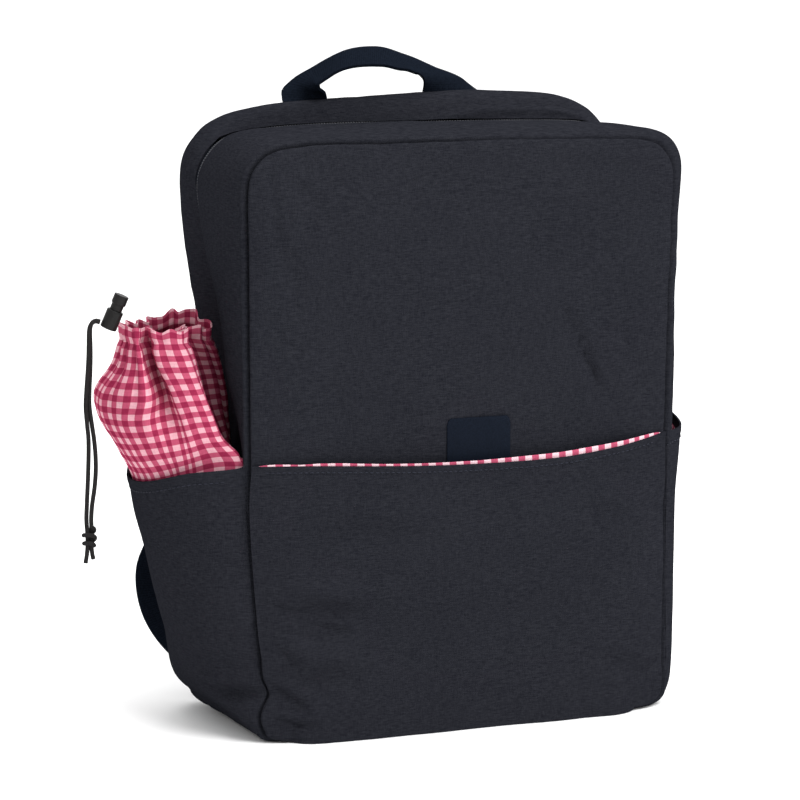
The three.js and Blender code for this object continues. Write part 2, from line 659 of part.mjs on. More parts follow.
// Overhand knot under the strands, as crossing lobes round a core with two tails.
function makeKnot() {
  const { height, tail, spread, lobes } = KNOT;
  const end = CORD_ROUTE.at(-1);
  const middle = -SEAT_GAP - height / 2;
  const core = new THREE.CapsuleGeometry(CORD.diameter * 1.1, height - CORD.diameter * 2.2, 2, 8);
  let knot = solidOf(core.rotateX(Math.PI / 2).translate(0, 0, middle));
  for (const { z, turn } of lobes) {
    const lobe = new THREE.CapsuleGeometry(CORD.diameter * 0.95, CORD.diameter * 1.9, 2, 8);
    lobe.rotateZ(Math.PI / 2).rotateZ(radians(turn)).translate(0, 0, middle + z);
    knot = knot.add(solidOf(lobe));
  }
  for (const side of [-1, 1]) {
    const strand = new THREE.CylinderGeometry(CORD.diameter / 2, CORD.diameter / 2, tail, CORD.sides);
    strand.rotateX(Math.PI / 2).rotateY(radians(spread * side));
    strand.translate(side * CORD.diameter * 0.5, 0, middle - height / 2 - tail / 2 + CORD.diameter);
    knot = knot.add(solidOf(strand));
  }
  addPiece("drawcord_knot", geometryFrom(knot), cordage).position.set(end.x, end.y, end.z);
}

// Grab handle: webbing that turns from across the bag at its feet to flat at the top.
function makeHandle() {
  const rows = stations(HANDLE_SECTIONS, ["x", "y", "z", "wx", "wy", "wz"], 24);
  const middles = rows.map(({ x, y, z }) => point(x, y, z));
  const rings = rows.map(({ wx, wy, wz }, i) => {
    const along = point().subVectors(middles[i + 1] ?? middles[i], middles[i - 1] ?? middles[i]).normalize();
    const across = point(wx, wy, wz);
    across.addScaledVector(along, -across.dot(along)).normalize();
    if (i === 0 || i === rows.length - 1) across.set(Math.sign(wx), 0, 0);
    const normal = point().crossVectors(along, across).normalize();
    return bandRing(middles[i], across, normal, HANDLE.width, HANDLE.thick);
  });
  addPiece("top_handle", loftedBar(rings), webbing);
}

// A strap's rings on one side; its width lies across the way it runs, level with the ground.
function strapRings(table, side, count) {
  const rows = stations(table, ["x", "y", "z", "width", "thick"], count);
  const middles = rows.map(({ x, y, z }) => point(side * x, y, z));
  return rows.map(({ width, thick }, i) => {
    const along = point().subVectors(middles[i + 1] ?? middles[i], middles[i - 1] ?? middles[i]).normalize();
    const normal = point(0, 1, 0).addScaledVector(along, -along.y).normalize();
    return bandRing(middles[i], point().crossVectors(normal, along), normal, width, thick);
  });
}

// Plain two-slot strap adjuster between the padded strap and its tail.
function makeAdjuster(name, side) {
  const { middle, up, width, height, thick, slot } = ADJUSTER;
  const frame = new THREE.Shape();
  const corner = 4;
  const [halfWidth, halfHeight] = [width / 2, height / 2];
  frame.absarc(halfWidth - corner, halfHeight - corner, corner, 0, Math.PI / 2);
  frame.absarc(corner - halfWidth, halfHeight - corner, corner, Math.PI / 2, Math.PI);
  frame.absarc(corner - halfWidth, corner - halfHeight, corner, Math.PI, 1.5 * Math.PI);
  frame.absarc(halfWidth - corner, corner - halfHeight, corner, 1.5 * Math.PI, 2 * Math.PI);
  for (const row of [-0.5, 0.5]) {
    const hole = new THREE.Path();
    const [w, h, z] = [slot.width / 2, slot.height / 2, row * slot.pitch];
    hole.moveTo(-w, z - h).lineTo(-w, z + h).lineTo(w, z + h).lineTo(w, z - h).closePath();
    frame.holes.push(hole);
  }
  const geometry = new THREE.ExtrudeGeometry(frame, { depth: thick, bevelEnabled: false, curveSegments: 3 });
  geometry.translate(0, 0, -thick / 2);
  const along = point(side * up.x, up.y, up.z).normalize();
  const normal = point(0, 1, 0).addScaledVector(along, -along.y).normalize();
  const place = new THREE.Group();
  place.position.set(side * middle.x, middle.y, middle.z);
  place.quaternion.setFromRotationMatrix(
    new THREE.Matrix4().makeBasis(point().crossVectors(along, normal), along, normal),
  );
  bag.add(place);
  addPiece(name, geometry, plastic, place);
}

function makeStraps() {
  for (const [name, side] of [["left", -1], ["right", 1]]) {
    addPiece("shoulder_strap_" + name, loftedBar(strapRings(STRAP_SECTIONS, side, 18)), canvas);
    addPiece("strap_tail_" + name, loftedBar(strapRings(TAIL_SECTIONS, side, 22)), webbing);
    makeAdjuster("strap_adjuster_" + name, side);
  }
}

makeCompartments();
makeZip();
makeSlider();
makeFrontPocket();
makePocketLining();
makeTab();
makeSidePocket("left_pocket", -1, LEFT_FLARE, LEFT_HEM);
makeSidePocket("right_pocket", 1, RIGHT_FLARE, RIGHT_HEM);
makeRightLining();
makePouch();
makeCordLock();
makeCord();
makeKnot();
makeHandle();
makeStraps();

export default bag;
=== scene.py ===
import math
from itertools import accumulate

import bpy
from mathutils import Matrix, Vector, noise
from mathutils.kdtree import KDTree


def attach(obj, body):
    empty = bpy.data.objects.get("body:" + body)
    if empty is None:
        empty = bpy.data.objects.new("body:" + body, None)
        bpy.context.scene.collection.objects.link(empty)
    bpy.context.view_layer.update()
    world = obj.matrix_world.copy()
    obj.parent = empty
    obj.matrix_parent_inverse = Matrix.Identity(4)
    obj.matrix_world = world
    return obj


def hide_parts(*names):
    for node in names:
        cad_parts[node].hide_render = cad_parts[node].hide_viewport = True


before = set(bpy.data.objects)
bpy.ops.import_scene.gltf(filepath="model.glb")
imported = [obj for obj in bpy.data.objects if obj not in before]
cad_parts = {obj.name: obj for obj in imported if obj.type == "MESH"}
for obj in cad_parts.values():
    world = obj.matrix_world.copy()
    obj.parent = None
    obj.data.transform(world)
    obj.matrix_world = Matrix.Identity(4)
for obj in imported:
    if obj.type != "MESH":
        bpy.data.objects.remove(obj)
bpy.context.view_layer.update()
mm = 0.001
sides = ((-1, "left"), (1, "right"))


# Small tools

def only(obj):
    bpy.ops.object.select_all(action="DESELECT")
    obj.select_set(True)
    bpy.context.view_layer.objects.active = obj


# the object just added, by its own name
def named(name):
    obj = bpy.context.object
    obj.name = name
    return obj


# edit mode with the whole mesh selected
def editAll(obj):
    only(obj)
    bpy.ops.object.mode_set(mode="EDIT")
    bpy.ops.mesh.select_all(action="SELECT")


def editDone():
    bpy.ops.object.mode_set(mode="OBJECT")


def setAll(target, settings):
    for key, value in settings.items():
        setattr(target, key, value)


def modify(obj, kind, **settings):
    only(obj)
    mod = obj.modifiers.new(kind.lower(), kind)
    setAll(mod, settings)
    bpy.ops.object.modifier_apply(modifier=mod.name)


def smooth(obj, angle=50):
    only(obj)
    bpy.ops.object.shade_smooth_by_angle(angle=math.radians(angle))


def roundEdges(obj, width, segments, angle=50):
    modify(obj, "BEVEL", width=width, segments=segments, limit_method="ANGLE",
           angle_limit=math.radians(angle))


def ease(low, high, t):
    t = min(1, max(0, (t - low) / (high - low)))
    return t * t * (3 - 2 * t)


def mix(a, b, share):
    return a + (b - a) * share


# one column of a table of rows at a place along its first column
def tableAt(rows, column, place):
    if place <= rows[0][0]:
        return rows[0][column]
    for a, b in zip(rows, rows[1:]):
        if place <= b[0]:
            return mix(a[column], b[column], (place - a[0]) / (b[0] - a[0]))
    return rows[-1][column]


# a smooth value between the second and third of four
def between(p0, p1, p2, p3, t):
    bow = 2 * p0 - 5 * p1 + 4 * p2 - p3
    twist = 3 * p1 - p0 - 3 * p2 + p3
    return 0.5 * (2 * p1 + (p2 - p0) * t + bow * t ** 2 + twist * t ** 3)


# how far along a line each of its points lies
def runsOf(points):
    return [0, *accumulate((b - a).length for a, b in zip(points, points[1:]))]


# smooth points through a list of points, evenly spaced along it
def throughPoints(points, count):
    perSpan = 24
    line = [Vector(p) for p in points]
    ends = [2 * line[0] - line[1], *line, 2 * line[-1] - line[-2]]
    fine = []
    for i in range(1, len(ends) - 2):
        fine += [between(*ends[i - 1:i + 3], k / perSpan) for k in range(perSpan)]
    fine.append(line[-1])
    run = runsOf(fine)
    out = []
    i = 0
    for k in range(count + 1):
        want = run[-1] * k / count
        while i < len(run) - 2 and run[i + 1] < want:
            i += 1
        out.append(fine[i].lerp(fine[i + 1], (want - run[i]) / (run[i + 1] - run[i])))
    return out


def lengthOf(points):
    return runsOf(points)[-1]


# a CAD node's mesh as a piece of its own, its triangles merged and joined into quads
def copyNode(node, name):
    obj = bpy.data.objects.new(name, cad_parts[node].data.copy())
    obj.data.name = name
    bpy.context.scene.collection.objects.link(obj)
    editAll(obj)
    bpy.ops.mesh.remove_doubles(threshold=0.01 * mm)
    bpy.ops.mesh.tris_convert_to_quads(face_threshold=math.pi, shape_threshold=math.pi)
    bpy.ops.mesh.customdata_custom_splitnormals_clear()
    editDone()
    return obj


# edit mode with the faces selected for which wanted(centre, normal) is true
def pickFaces(obj, wanted):
    editAll(obj)
    bpy.ops.mesh.select_mode(type="FACE")
    bpy.ops.mesh.select_all(action="DESELECT")
    editDone()
    for face in obj.data.polygons:
        face.select = wanted(face.center, face.normal)
    bpy.ops.object.mode_set(mode="EDIT")


def dropFaces(obj, unwanted):
    pickFaces(obj, unwanted)
    bpy.ops.mesh.delete(type="FACE")
    editDone()


# moves every vertex along its normal by lift(place, normal), no lower than the floor
def sculpt(obj, lift):
    mesh = obj.data
    normals = [v.normal.copy() for v in mesh.vertices]
    for v, normal in zip(mesh.vertices, normals):
        v.co += normal * lift(v.co.copy(), normal)
        v.co.z = max(v.co.z, 0)
    mesh.update()


def paint(obj, material):
    obj.data.materials.clear()
    obj.data.materials.append(material)


def finishPiece(obj, slot, material, *nodes, body="bag"):
    paint(obj, material)
    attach(obj, body)
    if nodes:
        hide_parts(*nodes)


# Materials

def newMaterial(name, roughness, specular=0.15):
    mat = bpy.data.materials.new(name)
    mat.use_nodes = True
    bsdf = mat.node_tree.nodes["Principled BSDF"]
    bsdf.inputs["Roughness"].default_value = roughness
    bsdf.inputs["Specular IOR Level"].default_value = specular
    return mat, mat.node_tree, bsdf


def addNode(tree, kind, values=None, **settings):
    node = tree.nodes.new("ShaderNode" + kind)
    setAll(node, settings)
    for key, value in (values or {}).items():
        node.inputs[key].default_value = value
    return node


def ramp(tree, source, stops):
    node = addNode(tree, "ValToRGB")
    while len(node.color_ramp.elements) < len(stops):
        node.color_ramp.elements.new(0.5)
    for element, (place, colour) in zip(node.color_ramp.elements, stops):
        element.position = place
        element.color = (*colour, 1)
    tree.links.new(source, node.inputs["Fac"])
    return node.outputs["Color"]


# noise drawn out along the directions in which scale is small
def drawnNoise(tree, scale, detail=2):
    coord = addNode(tree, "TexCoord")
    place = addNode(tree, "Mapping", {"Scale": scale})
    tree.links.new(coord.outputs["Object"], place.inputs["Vector"])
    tex = addNode(tree, "TexNoise", {"Scale": 1, "Detail": detail, "Roughness": 0.55})
    tree.links.new(place.outputs["Vector"], tex.inputs["Vector"])
    return tex.outputs["Fac"]


def math2(tree, operation, a, b):
    node = addNode(tree, "Math", operation=operation)
    for socket, value in zip(node.inputs, (a, b)):
        if isinstance(value, (int, float)):
            socket.default_value = value
        else:
            tree.links.new(value, socket)
    return node.outputs["Value"]


# the parts of a coordinate
def axesOf(tree, output):
    coord = addNode(tree, "TexCoord")
    split = addNode(tree, "SeparateXYZ")
    tree.links.new(coord.outputs[output], split.inputs["Vector"])
    return split.outputs


# a value that goes up and down so many times a metre
def toAndFro(tree, value, perMetre):
    return math2(tree, "PINGPONG", math2(tree, "MULTIPLY", value, perMetre), 0.5)


def bumpFrom(tree, bsdf, height, strength, distance):
    bump = addNode(tree, "Bump", {"Strength": strength, "Distance": distance})
    tree.links.new(height, bump.inputs["Height"])
    tree.links.new(bump.outputs["Normal"], bsdf.inputs["Normal"])


# slubbed melange cloth: threads lie level and upright, with slow patches of tone
def canvasMaterial():
    look = {
        "roughness": 0.88, "bump": 0.35, "relief": 0.6 * mm,
        # weft, warp and patches: scale, detail, share
        "layers": [((230, 230, 1450), 2, 0.56), ((1450, 1450, 230), 2, 0.34), ((14, 14, 14), 3, 0.1)],
        "tones": [(0.33, (0.0086, 0.0091, 0.0124)), (0.67, (0.0211, 0.0219, 0.0272))],
    }
    mat, tree, bsdf = newMaterial("canvas", look["roughness"], 0)
    weft, warp, patch = (math2(tree, "MULTIPLY", drawnNoise(tree, scale, detail), share)
                         for scale, detail, share in look["layers"])
    threads = math2(tree, "ADD", weft, warp)
    tone = math2(tree, "ADD", threads, patch)
    tree.links.new(ramp(tree, tone, look["tones"]), bsdf.inputs["Base Color"])
    bumpFrom(tree, bsdf, threads, look["bump"], look["relief"])
    return mat


# woven check: white, single-stripe and crossing squares, along two axes of a coordinate
def ginghamMaterial(name, output, axes, white=(0.66, 0.345, 0.395)):
    look = {
        "roughness": 0.9, "bump": 0.2, "relief": 0.3 * mm, "perMetre": 100,
        "pink": (0.42, 0.072, 0.132), "crimson": (0.25, 0.020, 0.058),
        "edge": {"From Min": 0.235, "From Max": 0.265}, "weft": (900, 900, 160), "warp": (160, 160, 1400),
        "worn": {"From Min": 0.6, "From Max": 1.4, "To Min": 0.82, "To Max": 1.1},
    }
    mat, tree, bsdf = newMaterial(name, look["roughness"], 0)
    parts = axesOf(tree, output)
    stripes = []
    for axis in axes:
        wave = toAndFro(tree, parts[axis], look["perMetre"])
        soft = addNode(tree, "MapRange", look["edge"])
        tree.links.new(wave, soft.inputs["Value"])
        stripes.append(soft.outputs["Result"])
    crossing = math2(tree, "MULTIPLY", math2(tree, "ADD", stripes[0], stripes[1]), 0.5)
    check = ramp(tree, crossing, [(0, white), (0.5, look["pink"]), (1, look["crimson"])])
    weave = math2(tree, "ADD", drawnNoise(tree, look["weft"]), drawnNoise(tree, look["warp"]))
    worn = addNode(tree, "MapRange", look["worn"])
    tree.links.new(weave, worn.inputs["Value"])
    shade = addNode(tree, "VectorMath", operation="SCALE")
    tree.links.new(check, shade.inputs[0])
    tree.links.new(worn.outputs["Result"], shade.inputs["Scale"])
    tree.links.new(shade.outputs["Vector"], bsdf.inputs["Base Color"])
    bumpFrom(tree, bsdf, weave, look["bump"], look["relief"])
    return mat


# ribbed webbing on a band's own UV map, which is in metres: u across, v along
def webbingMaterial():
    look = {
        "roughness": 0.7, "bump": 0.3, "relief": 0.25 * mm, "ribs": 900, "rows": 650, "weaveShare": 0.6,
        "fibre": (700, 700, 700), "tones": [(0.5, (0.0032, 0.0045, 0.0073)), (1, (0.0076, 0.0103, 0.0165))],
    }
    mat, tree, bsdf = newMaterial("webbing", look["roughness"], 0)
    parts = axesOf(tree, "UV")
    ribs = toAndFro(tree, parts["X"], look["ribs"])
    weave = math2(tree, "ADD", ribs, toAndFro(tree, parts["Y"], look["rows"]))
    weaveTone = math2(tree, "MULTIPLY", weave, look["weaveShare"])
    fibre = math2(tree, "ADD", weaveTone, drawnNoise(tree, look["fibre"]))
    tree.links.new(ramp(tree, fibre, look["tones"]), bsdf.inputs["Base Color"])
    bumpFrom(tree, bsdf, weave, look["bump"], look["relief"])
    return mat


# a plain material with a fine grain: leather look, plastic, thread
def grainMaterial(name, colour, roughness=0.8, grain=1500, strength=0.2, spread=0.25, specular=0.15):
    mat, tree, bsdf = newMaterial(name, roughness, specular)
    relief = 0.3 * mm
    speck = drawnNoise(tree, (grain, grain, grain), 3)
    dark = tuple(c * (1 - spread) for c in colour)
    light = tuple(c * (1 + spread) for c in colour)
    tree.links.new(ramp(tree, speck, [(0.3, dark), (0.7, light)]), bsdf.inputs["Base Color"])
    bumpFrom(tree, bsdf, speck, strength, relief)
    return mat


canvas = canvasMaterial()
webbing = webbingMaterial()
pouchGingham = ginghamMaterial("gingham on the cut", "UV", ("X", "Y"))
liningGingham = ginghamMaterial("gingham along the lip", "UV", ("X", "Y"), (0.74, 0.50, 0.545))
sideGingham = ginghamMaterial("gingham, facing sideways", "Object", ("Y", "Z"))
tabLeather = grainMaterial("tab", (0.0050, 0.0073, 0.0130), roughness=0.6, strength=0.15, specular=0.03)
cordage = grainMaterial("cord", (0.011, 0.010, 0.010), grain=1300, strength=0.6, spread=0.5)
plastic = grainMaterial("plastic", (0.010, 0.0095, 0.0095), roughness=0.42, grain=900, strength=0.05)
thread = grainMaterial("thread", (0.016, 0.0175, 0.026), grain=2500)
# the zip coil is painted a lighter grey than the tape and the cloth round it: a painted highlight that draws
# the light line along the zip
zipCoilPaintedHighlight = grainMaterial("zip coil, painted highlight", (0.055, 0.056, 0.063), roughness=0.7, specular=0.03)
print("materials made")


# Camera at the photograph's angle, floor and light

camera = {
    "azimuth": -21.26, "elevation": 8.985, "distance": 2.5, "target": (-0.0184, 0, 0.2149), "lens": 163.5,
    "sensor": 36, "clipEnd": 100,
}
a, e = math.radians(camera["azimuth"]), math.radians(camera["elevation"])
back = Vector((math.sin(a) * math.cos(e), -math.cos(a) * math.cos(e), math.sin(e)))
bpy.ops.object.camera_add(location=Vector(camera["target"]) + back * camera["distance"],
                          rotation=(-back).to_track_quat("-Z", "Y").to_euler())
cam = bpy.context.object
cam.data.lens = camera["lens"]
cam.data.sensor_width = camera["sensor"]
cam.data.clip_end = camera["clipEnd"]
bpy.context.scene.camera = cam

bpy.ops.mesh.primitive_plane_add(size=40)
floor = named("floor")
floorMat, _, floorBsdf = newMaterial("floor", roughness=0.9, specular=0.1)
floorBsdf.inputs["Base Color"].default_value = (0.96, 0.96, 0.96, 1)
paint(floor, floorMat)

# the sky is brightest towards the upper right, and the lamps aim at the bag's middle
studio = {"bright": (0.7, 0, 0.71), "low": 0.3, "high": 1.64, "aim": (0, 0, 0.2)}
world = bpy.data.worlds.new("studio")
bpy.context.scene.world = world
world.use_nodes = True
sky = world.node_tree
sky.nodes["Background"].inputs["Color"].default_value = (1, 1, 1, 1)
where = addNode(sky, "TexCoord")
towards = addNode(sky, "VectorMath", {1: studio["bright"]}, operation="DOT_PRODUCT")
sky.links.new(where.outputs["Generated"], towards.inputs[0])
spread = {"From Min": -1, "To Min": studio["low"], "To Max": studio["high"]}
fade = addNode(sky, "MapRange", spread)
sky.links.new(towards.outputs["Value"], fade.inputs["Value"])
sky.links.new(fade.outputs["Result"], sky.nodes["Background"].inputs["Strength"])
bpy.context.scene.view_settings.view_transform = "Standard"

# softboxes: place, size, power
lights = [((0.7, -1.7, 2.8), 2.0, 76), ((0.1, 1.3, 2.6), 1.6, 20)]
for place, size, power in lights:
    bpy.ops.object.light_add(type="AREA", location=place)
    lamp = bpy.context.object
    lamp.data.size = size
    lamp.data.energy = power
    aim = Vector(studio["aim"]) - Vector(place)
    lamp.rotation_euler = aim.to_track_quat("-Z", "Y").to_euler()
print("camera, floor and light placed")


# Drawcord: two strands from the lock to the knot

strand = {"diameter": 3 * mm, "steps": 110, "tailSteps": 24}
# middle of the strands x, y, z, half their distance, degrees from X to the strands
cordRoute = [
    (-238.3, -20.4, 282.6, 1.7, 69), (-241, -19.9, 283.2, 1.7, 69), (-243.4, -19.8, 282.2, 1.7, 69),
    (-245, -20.2, 279.4, 1.7, 66), (-245.7, -20.8, 275.2, 1.7, 62), (-245.9, -21.4, 268, 1.7, 56),
    (-246.2, -21.8, 259, 1.7, 50), (-246.8, -22, 249, 1.7, 44), (-247.6, -22, 238, 1.7, 38),
    (-248, -22, 227, 1.7, 28), (-247, -22, 216, 1.75, 14), (-245.8, -22, 205, 1.9, 0),
    (-245.4, -22, 194, 2.3, -12), (-245.6, -22, 183, 2.5, -20), (-246.4, -22, 172, 2.3, -24),
    (-247.6, -22, 161, 1.8, -30), (-248.2, -22, 152, 1.7, -36), (-248, -22, 145.4, 1.7, -40),
]


# an open curve through points, thick all along
def cordCurve(name, points, diameter):
    bpy.ops.curve.primitive_nurbs_path_add()
    obj = named(name)
    obj.data.splines.clear()
    spline = obj.data.splines.new("POLY")
    spline.points.add(len(points) - 1)
    for point, place in zip(spline.points, points):
        point.co = (*place, 1)
    obj.data.dimensions = "3D"
    obj.data.bevel_depth = diameter / 2
    obj.data.bevel_resolution = 4
    obj.data.use_fill_caps = True
    return obj


for side, name in sides:
    route = []
    for x, y, z, apart, turn in cordRoute:
        off = side * apart
        turn = math.radians(turn)
        route.append(Vector((x + off * math.cos(turn), y + off * math.sin(turn), z)) * mm)
    path = throughPoints(route, strand["steps"])
    piece = cordCurve("drawcordStrand_" + name, path, strand["diameter"])
    finishPiece(piece, "cord", cordage, "drawcord_" + name)

# overhand knot: one strand wraps the other, and both tails hang out below
coil = {
    "steps": 60, "start": -60, "turn": 760, "wide": 3.3, "belly": 0.5, "bellyTurn": 200, "deep": 0.86,
    "top": 1.0, "tall": 11.6, "slant": 1.7,
}
knotTop = Vector(cordRoute[-1][:3]) * mm
wrap = []
for k in range(coil["steps"] + 1):
    t = k / coil["steps"]
    turn = math.radians(coil["start"] + coil["turn"] * t)
    wide = coil["wide"] + coil["belly"] * math.sin(math.radians(coil["bellyTurn"] * t))
    drop = coil["top"] + coil["tall"] * t + coil["slant"] * math.sin(turn)
    off = Vector((wide * math.cos(turn), coil["deep"] * wide * math.sin(turn), -drop))
    wrap.append(knotTop + off * mm)
knot = cordCurve("drawcordKnot", wrap, strand["diameter"])
tails = []
for side, reach in ((-1, 23.5), (1, 21)):
    line = [(1.6 * side, 0, 1), (1.4 * side, 0.3 * side, -5), (1.2 * side, -0.4 * side, -12),
            (1.9 * side, 0, -18), (2.7 * side, 0.4, -reach)]
    points = throughPoints([knotTop + Vector(p) * mm for p in line], strand["tailSteps"])
    tails.append(cordCurve("drawcordTail", points, strand["diameter"]))
for part in (knot, *tails):
    only(part)
    bpy.ops.object.convert(target="MESH")
only(knot)
for part in tails:
    part.select_set(True)
bpy.ops.object.join()
finishPiece(knot, "cord", cordage, "drawcord_knot")
smooth(knot)
print("drawcord laid")


# Seams and folds

seamStep = 0.4  # millimetres


# points close together along a line on the cloth, in a tree that finds the nearest one
def seamLine(points, closed=True):
    line = [*points, points[0]] if closed else points
    dense = throughPoints(line, int(lengthOf(line) / (seamStep * mm)))
    tree = KDTree(len(dense))
    for i, place in enumerate(dense):
        tree.insert(place, i)
    tree.balance()
    return tree, dense


def fromSeam(seam, place):
    nearest, i, distance = seam[0].find(place)
    return distance, i * seamStep * mm, nearest


def bump(distance, middle, width):
    return math.exp(-((distance - middle) / width) ** 2)


# a welt or groove beside a seam: height, distance from the seam and width in millimetres
def welt(distance, shape):
    high, middle, width = (part * mm for part in shape)
    return high * bump(distance, middle, width)


# small folds that run off a seam: depth, reach and pitch in millimetres
def puckers(distance, run, shape):
    deep, reach, pitch = (part * mm for part in shape)
    ripple = noise.noise(Vector((run / pitch, distance / (4 * pitch), 7.3)))
    return deep * ripple * math.exp(-distance / reach)


# slow unevenness of cloth: pairs of depth in millimetres and size in metres
def slack(place, layers, seed=0.0):
    shift = Vector((seed, 2.1 * seed, 3.7 * seed))
    return sum(deep * mm * noise.noise(place / size + shift) for deep, size in layers)


# creases pressed in: two ends, depth and width, with a lip on one side
crease = {"lip": 0.55, "lipAt": 1.6, "taper": 0.6, "away": Vector((0.36, 0.92, 0))}


def creaseLift(place, normal, creases):
    lift = 0
    for start, end, deep, width in creases:
        a, b = Vector(start) * mm, Vector(end) * mm
        along = b - a
        t = (place - a).dot(along) / along.length_squared
        if 0 < t < 1:
            foot = a + along * t
            off = place - foot
            off -= normal * off.dot(normal)
            side = 1 if off.cross(along).dot(crease["away"]) > 0 else -1
            d = off.length * side / (width * mm)
            fade = math.sin(math.pi * t) ** crease["taper"]
            lip = crease["lip"] * math.exp(-(d - crease["lipAt"]) ** 2)
            lift += deep * mm * fade * (lip - math.exp(-d * d))
    return lift


def edgeVertices(obj):
    seen = {}
    for face in obj.data.polygons:
        for key in face.edge_keys:
            seen[key] = seen.get(key, 0) + 1
    return {i for key, n in seen.items() if n == 1 for i in key}


# points of one open edge in order along it
def edgePath(obj, wanted, order):
    places = [obj.data.vertices[i].co.copy() for i in edgeVertices(obj)]
    return sorted((p for p in places if wanted(p)), key=order)


def subdivide(obj, levels):
    modify(obj, "SUBSURF", levels=levels, boundary_smooth="PRESERVE_CORNERS")


# gives the cloth its thickness on the inside, with the seen face left where it is
def thicken(obj, thick):
    modify(obj, "SOLIDIFY", thickness=thick, offset=-1, use_even_offset=True, use_quality_normals=True)
    smooth(obj, 60)


# copies of a unit that lies along X, one after another along a path
def alongPath(unit, path, pitch):
    guide = cordCurve("guide", path, 0)
    modify(unit, "ARRAY", fit_type="FIT_LENGTH", fit_length=lengthOf(path) - pitch,
           use_relative_offset=False, use_constant_offset=True, constant_offset_displace=(pitch, 0, 0))
    modify(unit, "CURVE", object=guide)
    bpy.data.objects.remove(guide)


# the nearest place on a piece, raised off it by some millimetres
def onPiece(piece, place, raised):
    found, on, normal, face = piece.closest_point_on_mesh(place)
    return on + normal * raised * mm


# a row of stitches on a piece, below an edge of it
def stitchRow(name, piece, edge, below, inset):
    stitch = {"size": (2.7 * mm, 0.95 * mm, 0.95 * mm), "pitch": 3.7 * mm, "raised": 0.12, "step": 1.2 * mm}
    down = Vector((0, 0, -below))
    path = [onPiece(piece, place + down, stitch["raised"]) for place in edge[1][inset:-inset:12]]
    path = throughPoints(path, max(8, int(lengthOf(path) / stitch["step"])))
    bpy.ops.mesh.primitive_uv_sphere_add(segments=8, ring_count=6, radius=0.5)
    unit = named(name)
    editAll(unit)
    bpy.ops.transform.rotate(value=math.pi / 2, orient_axis="Y", center_override=(0, 0, 0))
    bpy.ops.transform.resize(value=stitch["size"], center_override=(0, 0, 0))
    editDone()
    alongPath(unit, path, stitch["pitch"])
    finishPiece(unit, "webbing", thread)
    smooth(unit, 80)


# Front compartment: panel and gusset with the turned seam between them

frontBag = {
    "rim": 28.5 * mm, "seam": -69.5 * mm, "wall": 1.8 * mm, "groove": (4.4, 0, 1.25),
    "gussetWelt": (0.75, 3.4, 1.7), "panelWelt": (0.35, 3, 1.8), "rimWelt": (0.4, 2.6, 1.6),
    "puckers": (0.9, 18, 13), "taut": 14 * mm, "faint": 0.55,
    "slack": [(2.4, 0.14), (1.3, 0.06), (0.45, 0.026), (0.14, 0.012)],
}
# ends in millimetres, depth, width
frontCreases = [
    ((70, -78, 290), (103, -78, 216), 3.4, 2.8),
    ((100, -78, 272), (122, -78, 212), -1.2, 7),
    ((-140, -75, 352), (-118, -78, 300), 1.2, 6),
    ((-128, -76, 380), (-96, -78, 352), 0.9, 5),
    ((60, -76, 384), (150, -73, 372), 0.8, 5),
    ((-138, -75, 386), (-134, -78, 340), 1, 3.5),
]


def ringOf(obj, level):
    return [v.index for v in obj.data.vertices if abs(v.co.y - level) < 0.05 * mm]


bagMiddle = 0.2  # height


def roundMiddle(place):
    return math.atan2(place.z - bagMiddle, place.x)


# a CAD wall without its inner faces and without the face at its rim
def outerSkin(node, name, rim):
    skin = copyNode(node, name)
    middle = Vector((0, rim, bagMiddle))
    dropFaces(skin, lambda c, n: n.dot(c - middle) < 0 or (abs(c.y - rim) < 0.2 * mm and abs(n.y) > 0.9))
    return skin


# How the standing bag has settled, in millimetres. By height: the seams' shift, the swell beside the right
# one, and how far the zip's left run lies back, or forward where negative, and in.
seamRight = [(24, -0.5), (40, -2.7), (61, -4), (160, -4.2), (188, -4.7), (255, -4), (360, -1.6)]
seamLeft = [(4, 8), (13, 6.7), (22, 7.5), (30, 10.3), (35, 11.8), (49, 8.6), (64, 6), (119, 2.1), (166, 0.4),
            (206, 1.1), (355, 2.5)]
swellRight = [(0, 4.5), (60, 4.4), (200, 3.8), (330, 5.5), (370, 6.6)]
zipLeft = [(60, 0, 0), (120, -18, 5), (180, -24, 6), (262, -22, 5), (300, -20, 4), (330, -18, 2),
           (360, -15, 1), (385, -12, 0), (402, -4, 0)]
# along the roof by x: how far the zip lies back and up, and how far the front seam stands up
zipRoof = [(-130, 11, 1.4), (-60, 9, 1.2), (-25, 6, 0.8), (10, 0, 0), (45, -3, -0.6), (100, -5, -0.9),
           (150, -4, -0.8)]
seamTop = [(-157, 1.2), (-140, 1.8), (-115, 2.9), (-95, 3), (-62, 0), (100, 0), (150, 1)]
footLift = [(-60, 0), (-30, 0.5), (0, 1), (35, 2.2), (62, 6)]  # of the left foot, by depth
settleBy = {
    "cornerOut": 3, "cornerUp": 3.5, "roofOut": 3, "roofRight": 4.5, "roofLeft": 2.5,  # top of the bag
    "sunk": 17, "bulge": 1,  # left wall behind the zip
    "footForward": 6, "footFlat": 0.15, "footOut": 8.5, "seamRight": 1.4, "seamLeft": 1.6,
    "frontGap": 2.5, "rearGap": 3.4, "footGap": -1.45,  # rims off the zip; they meet at the foot
}


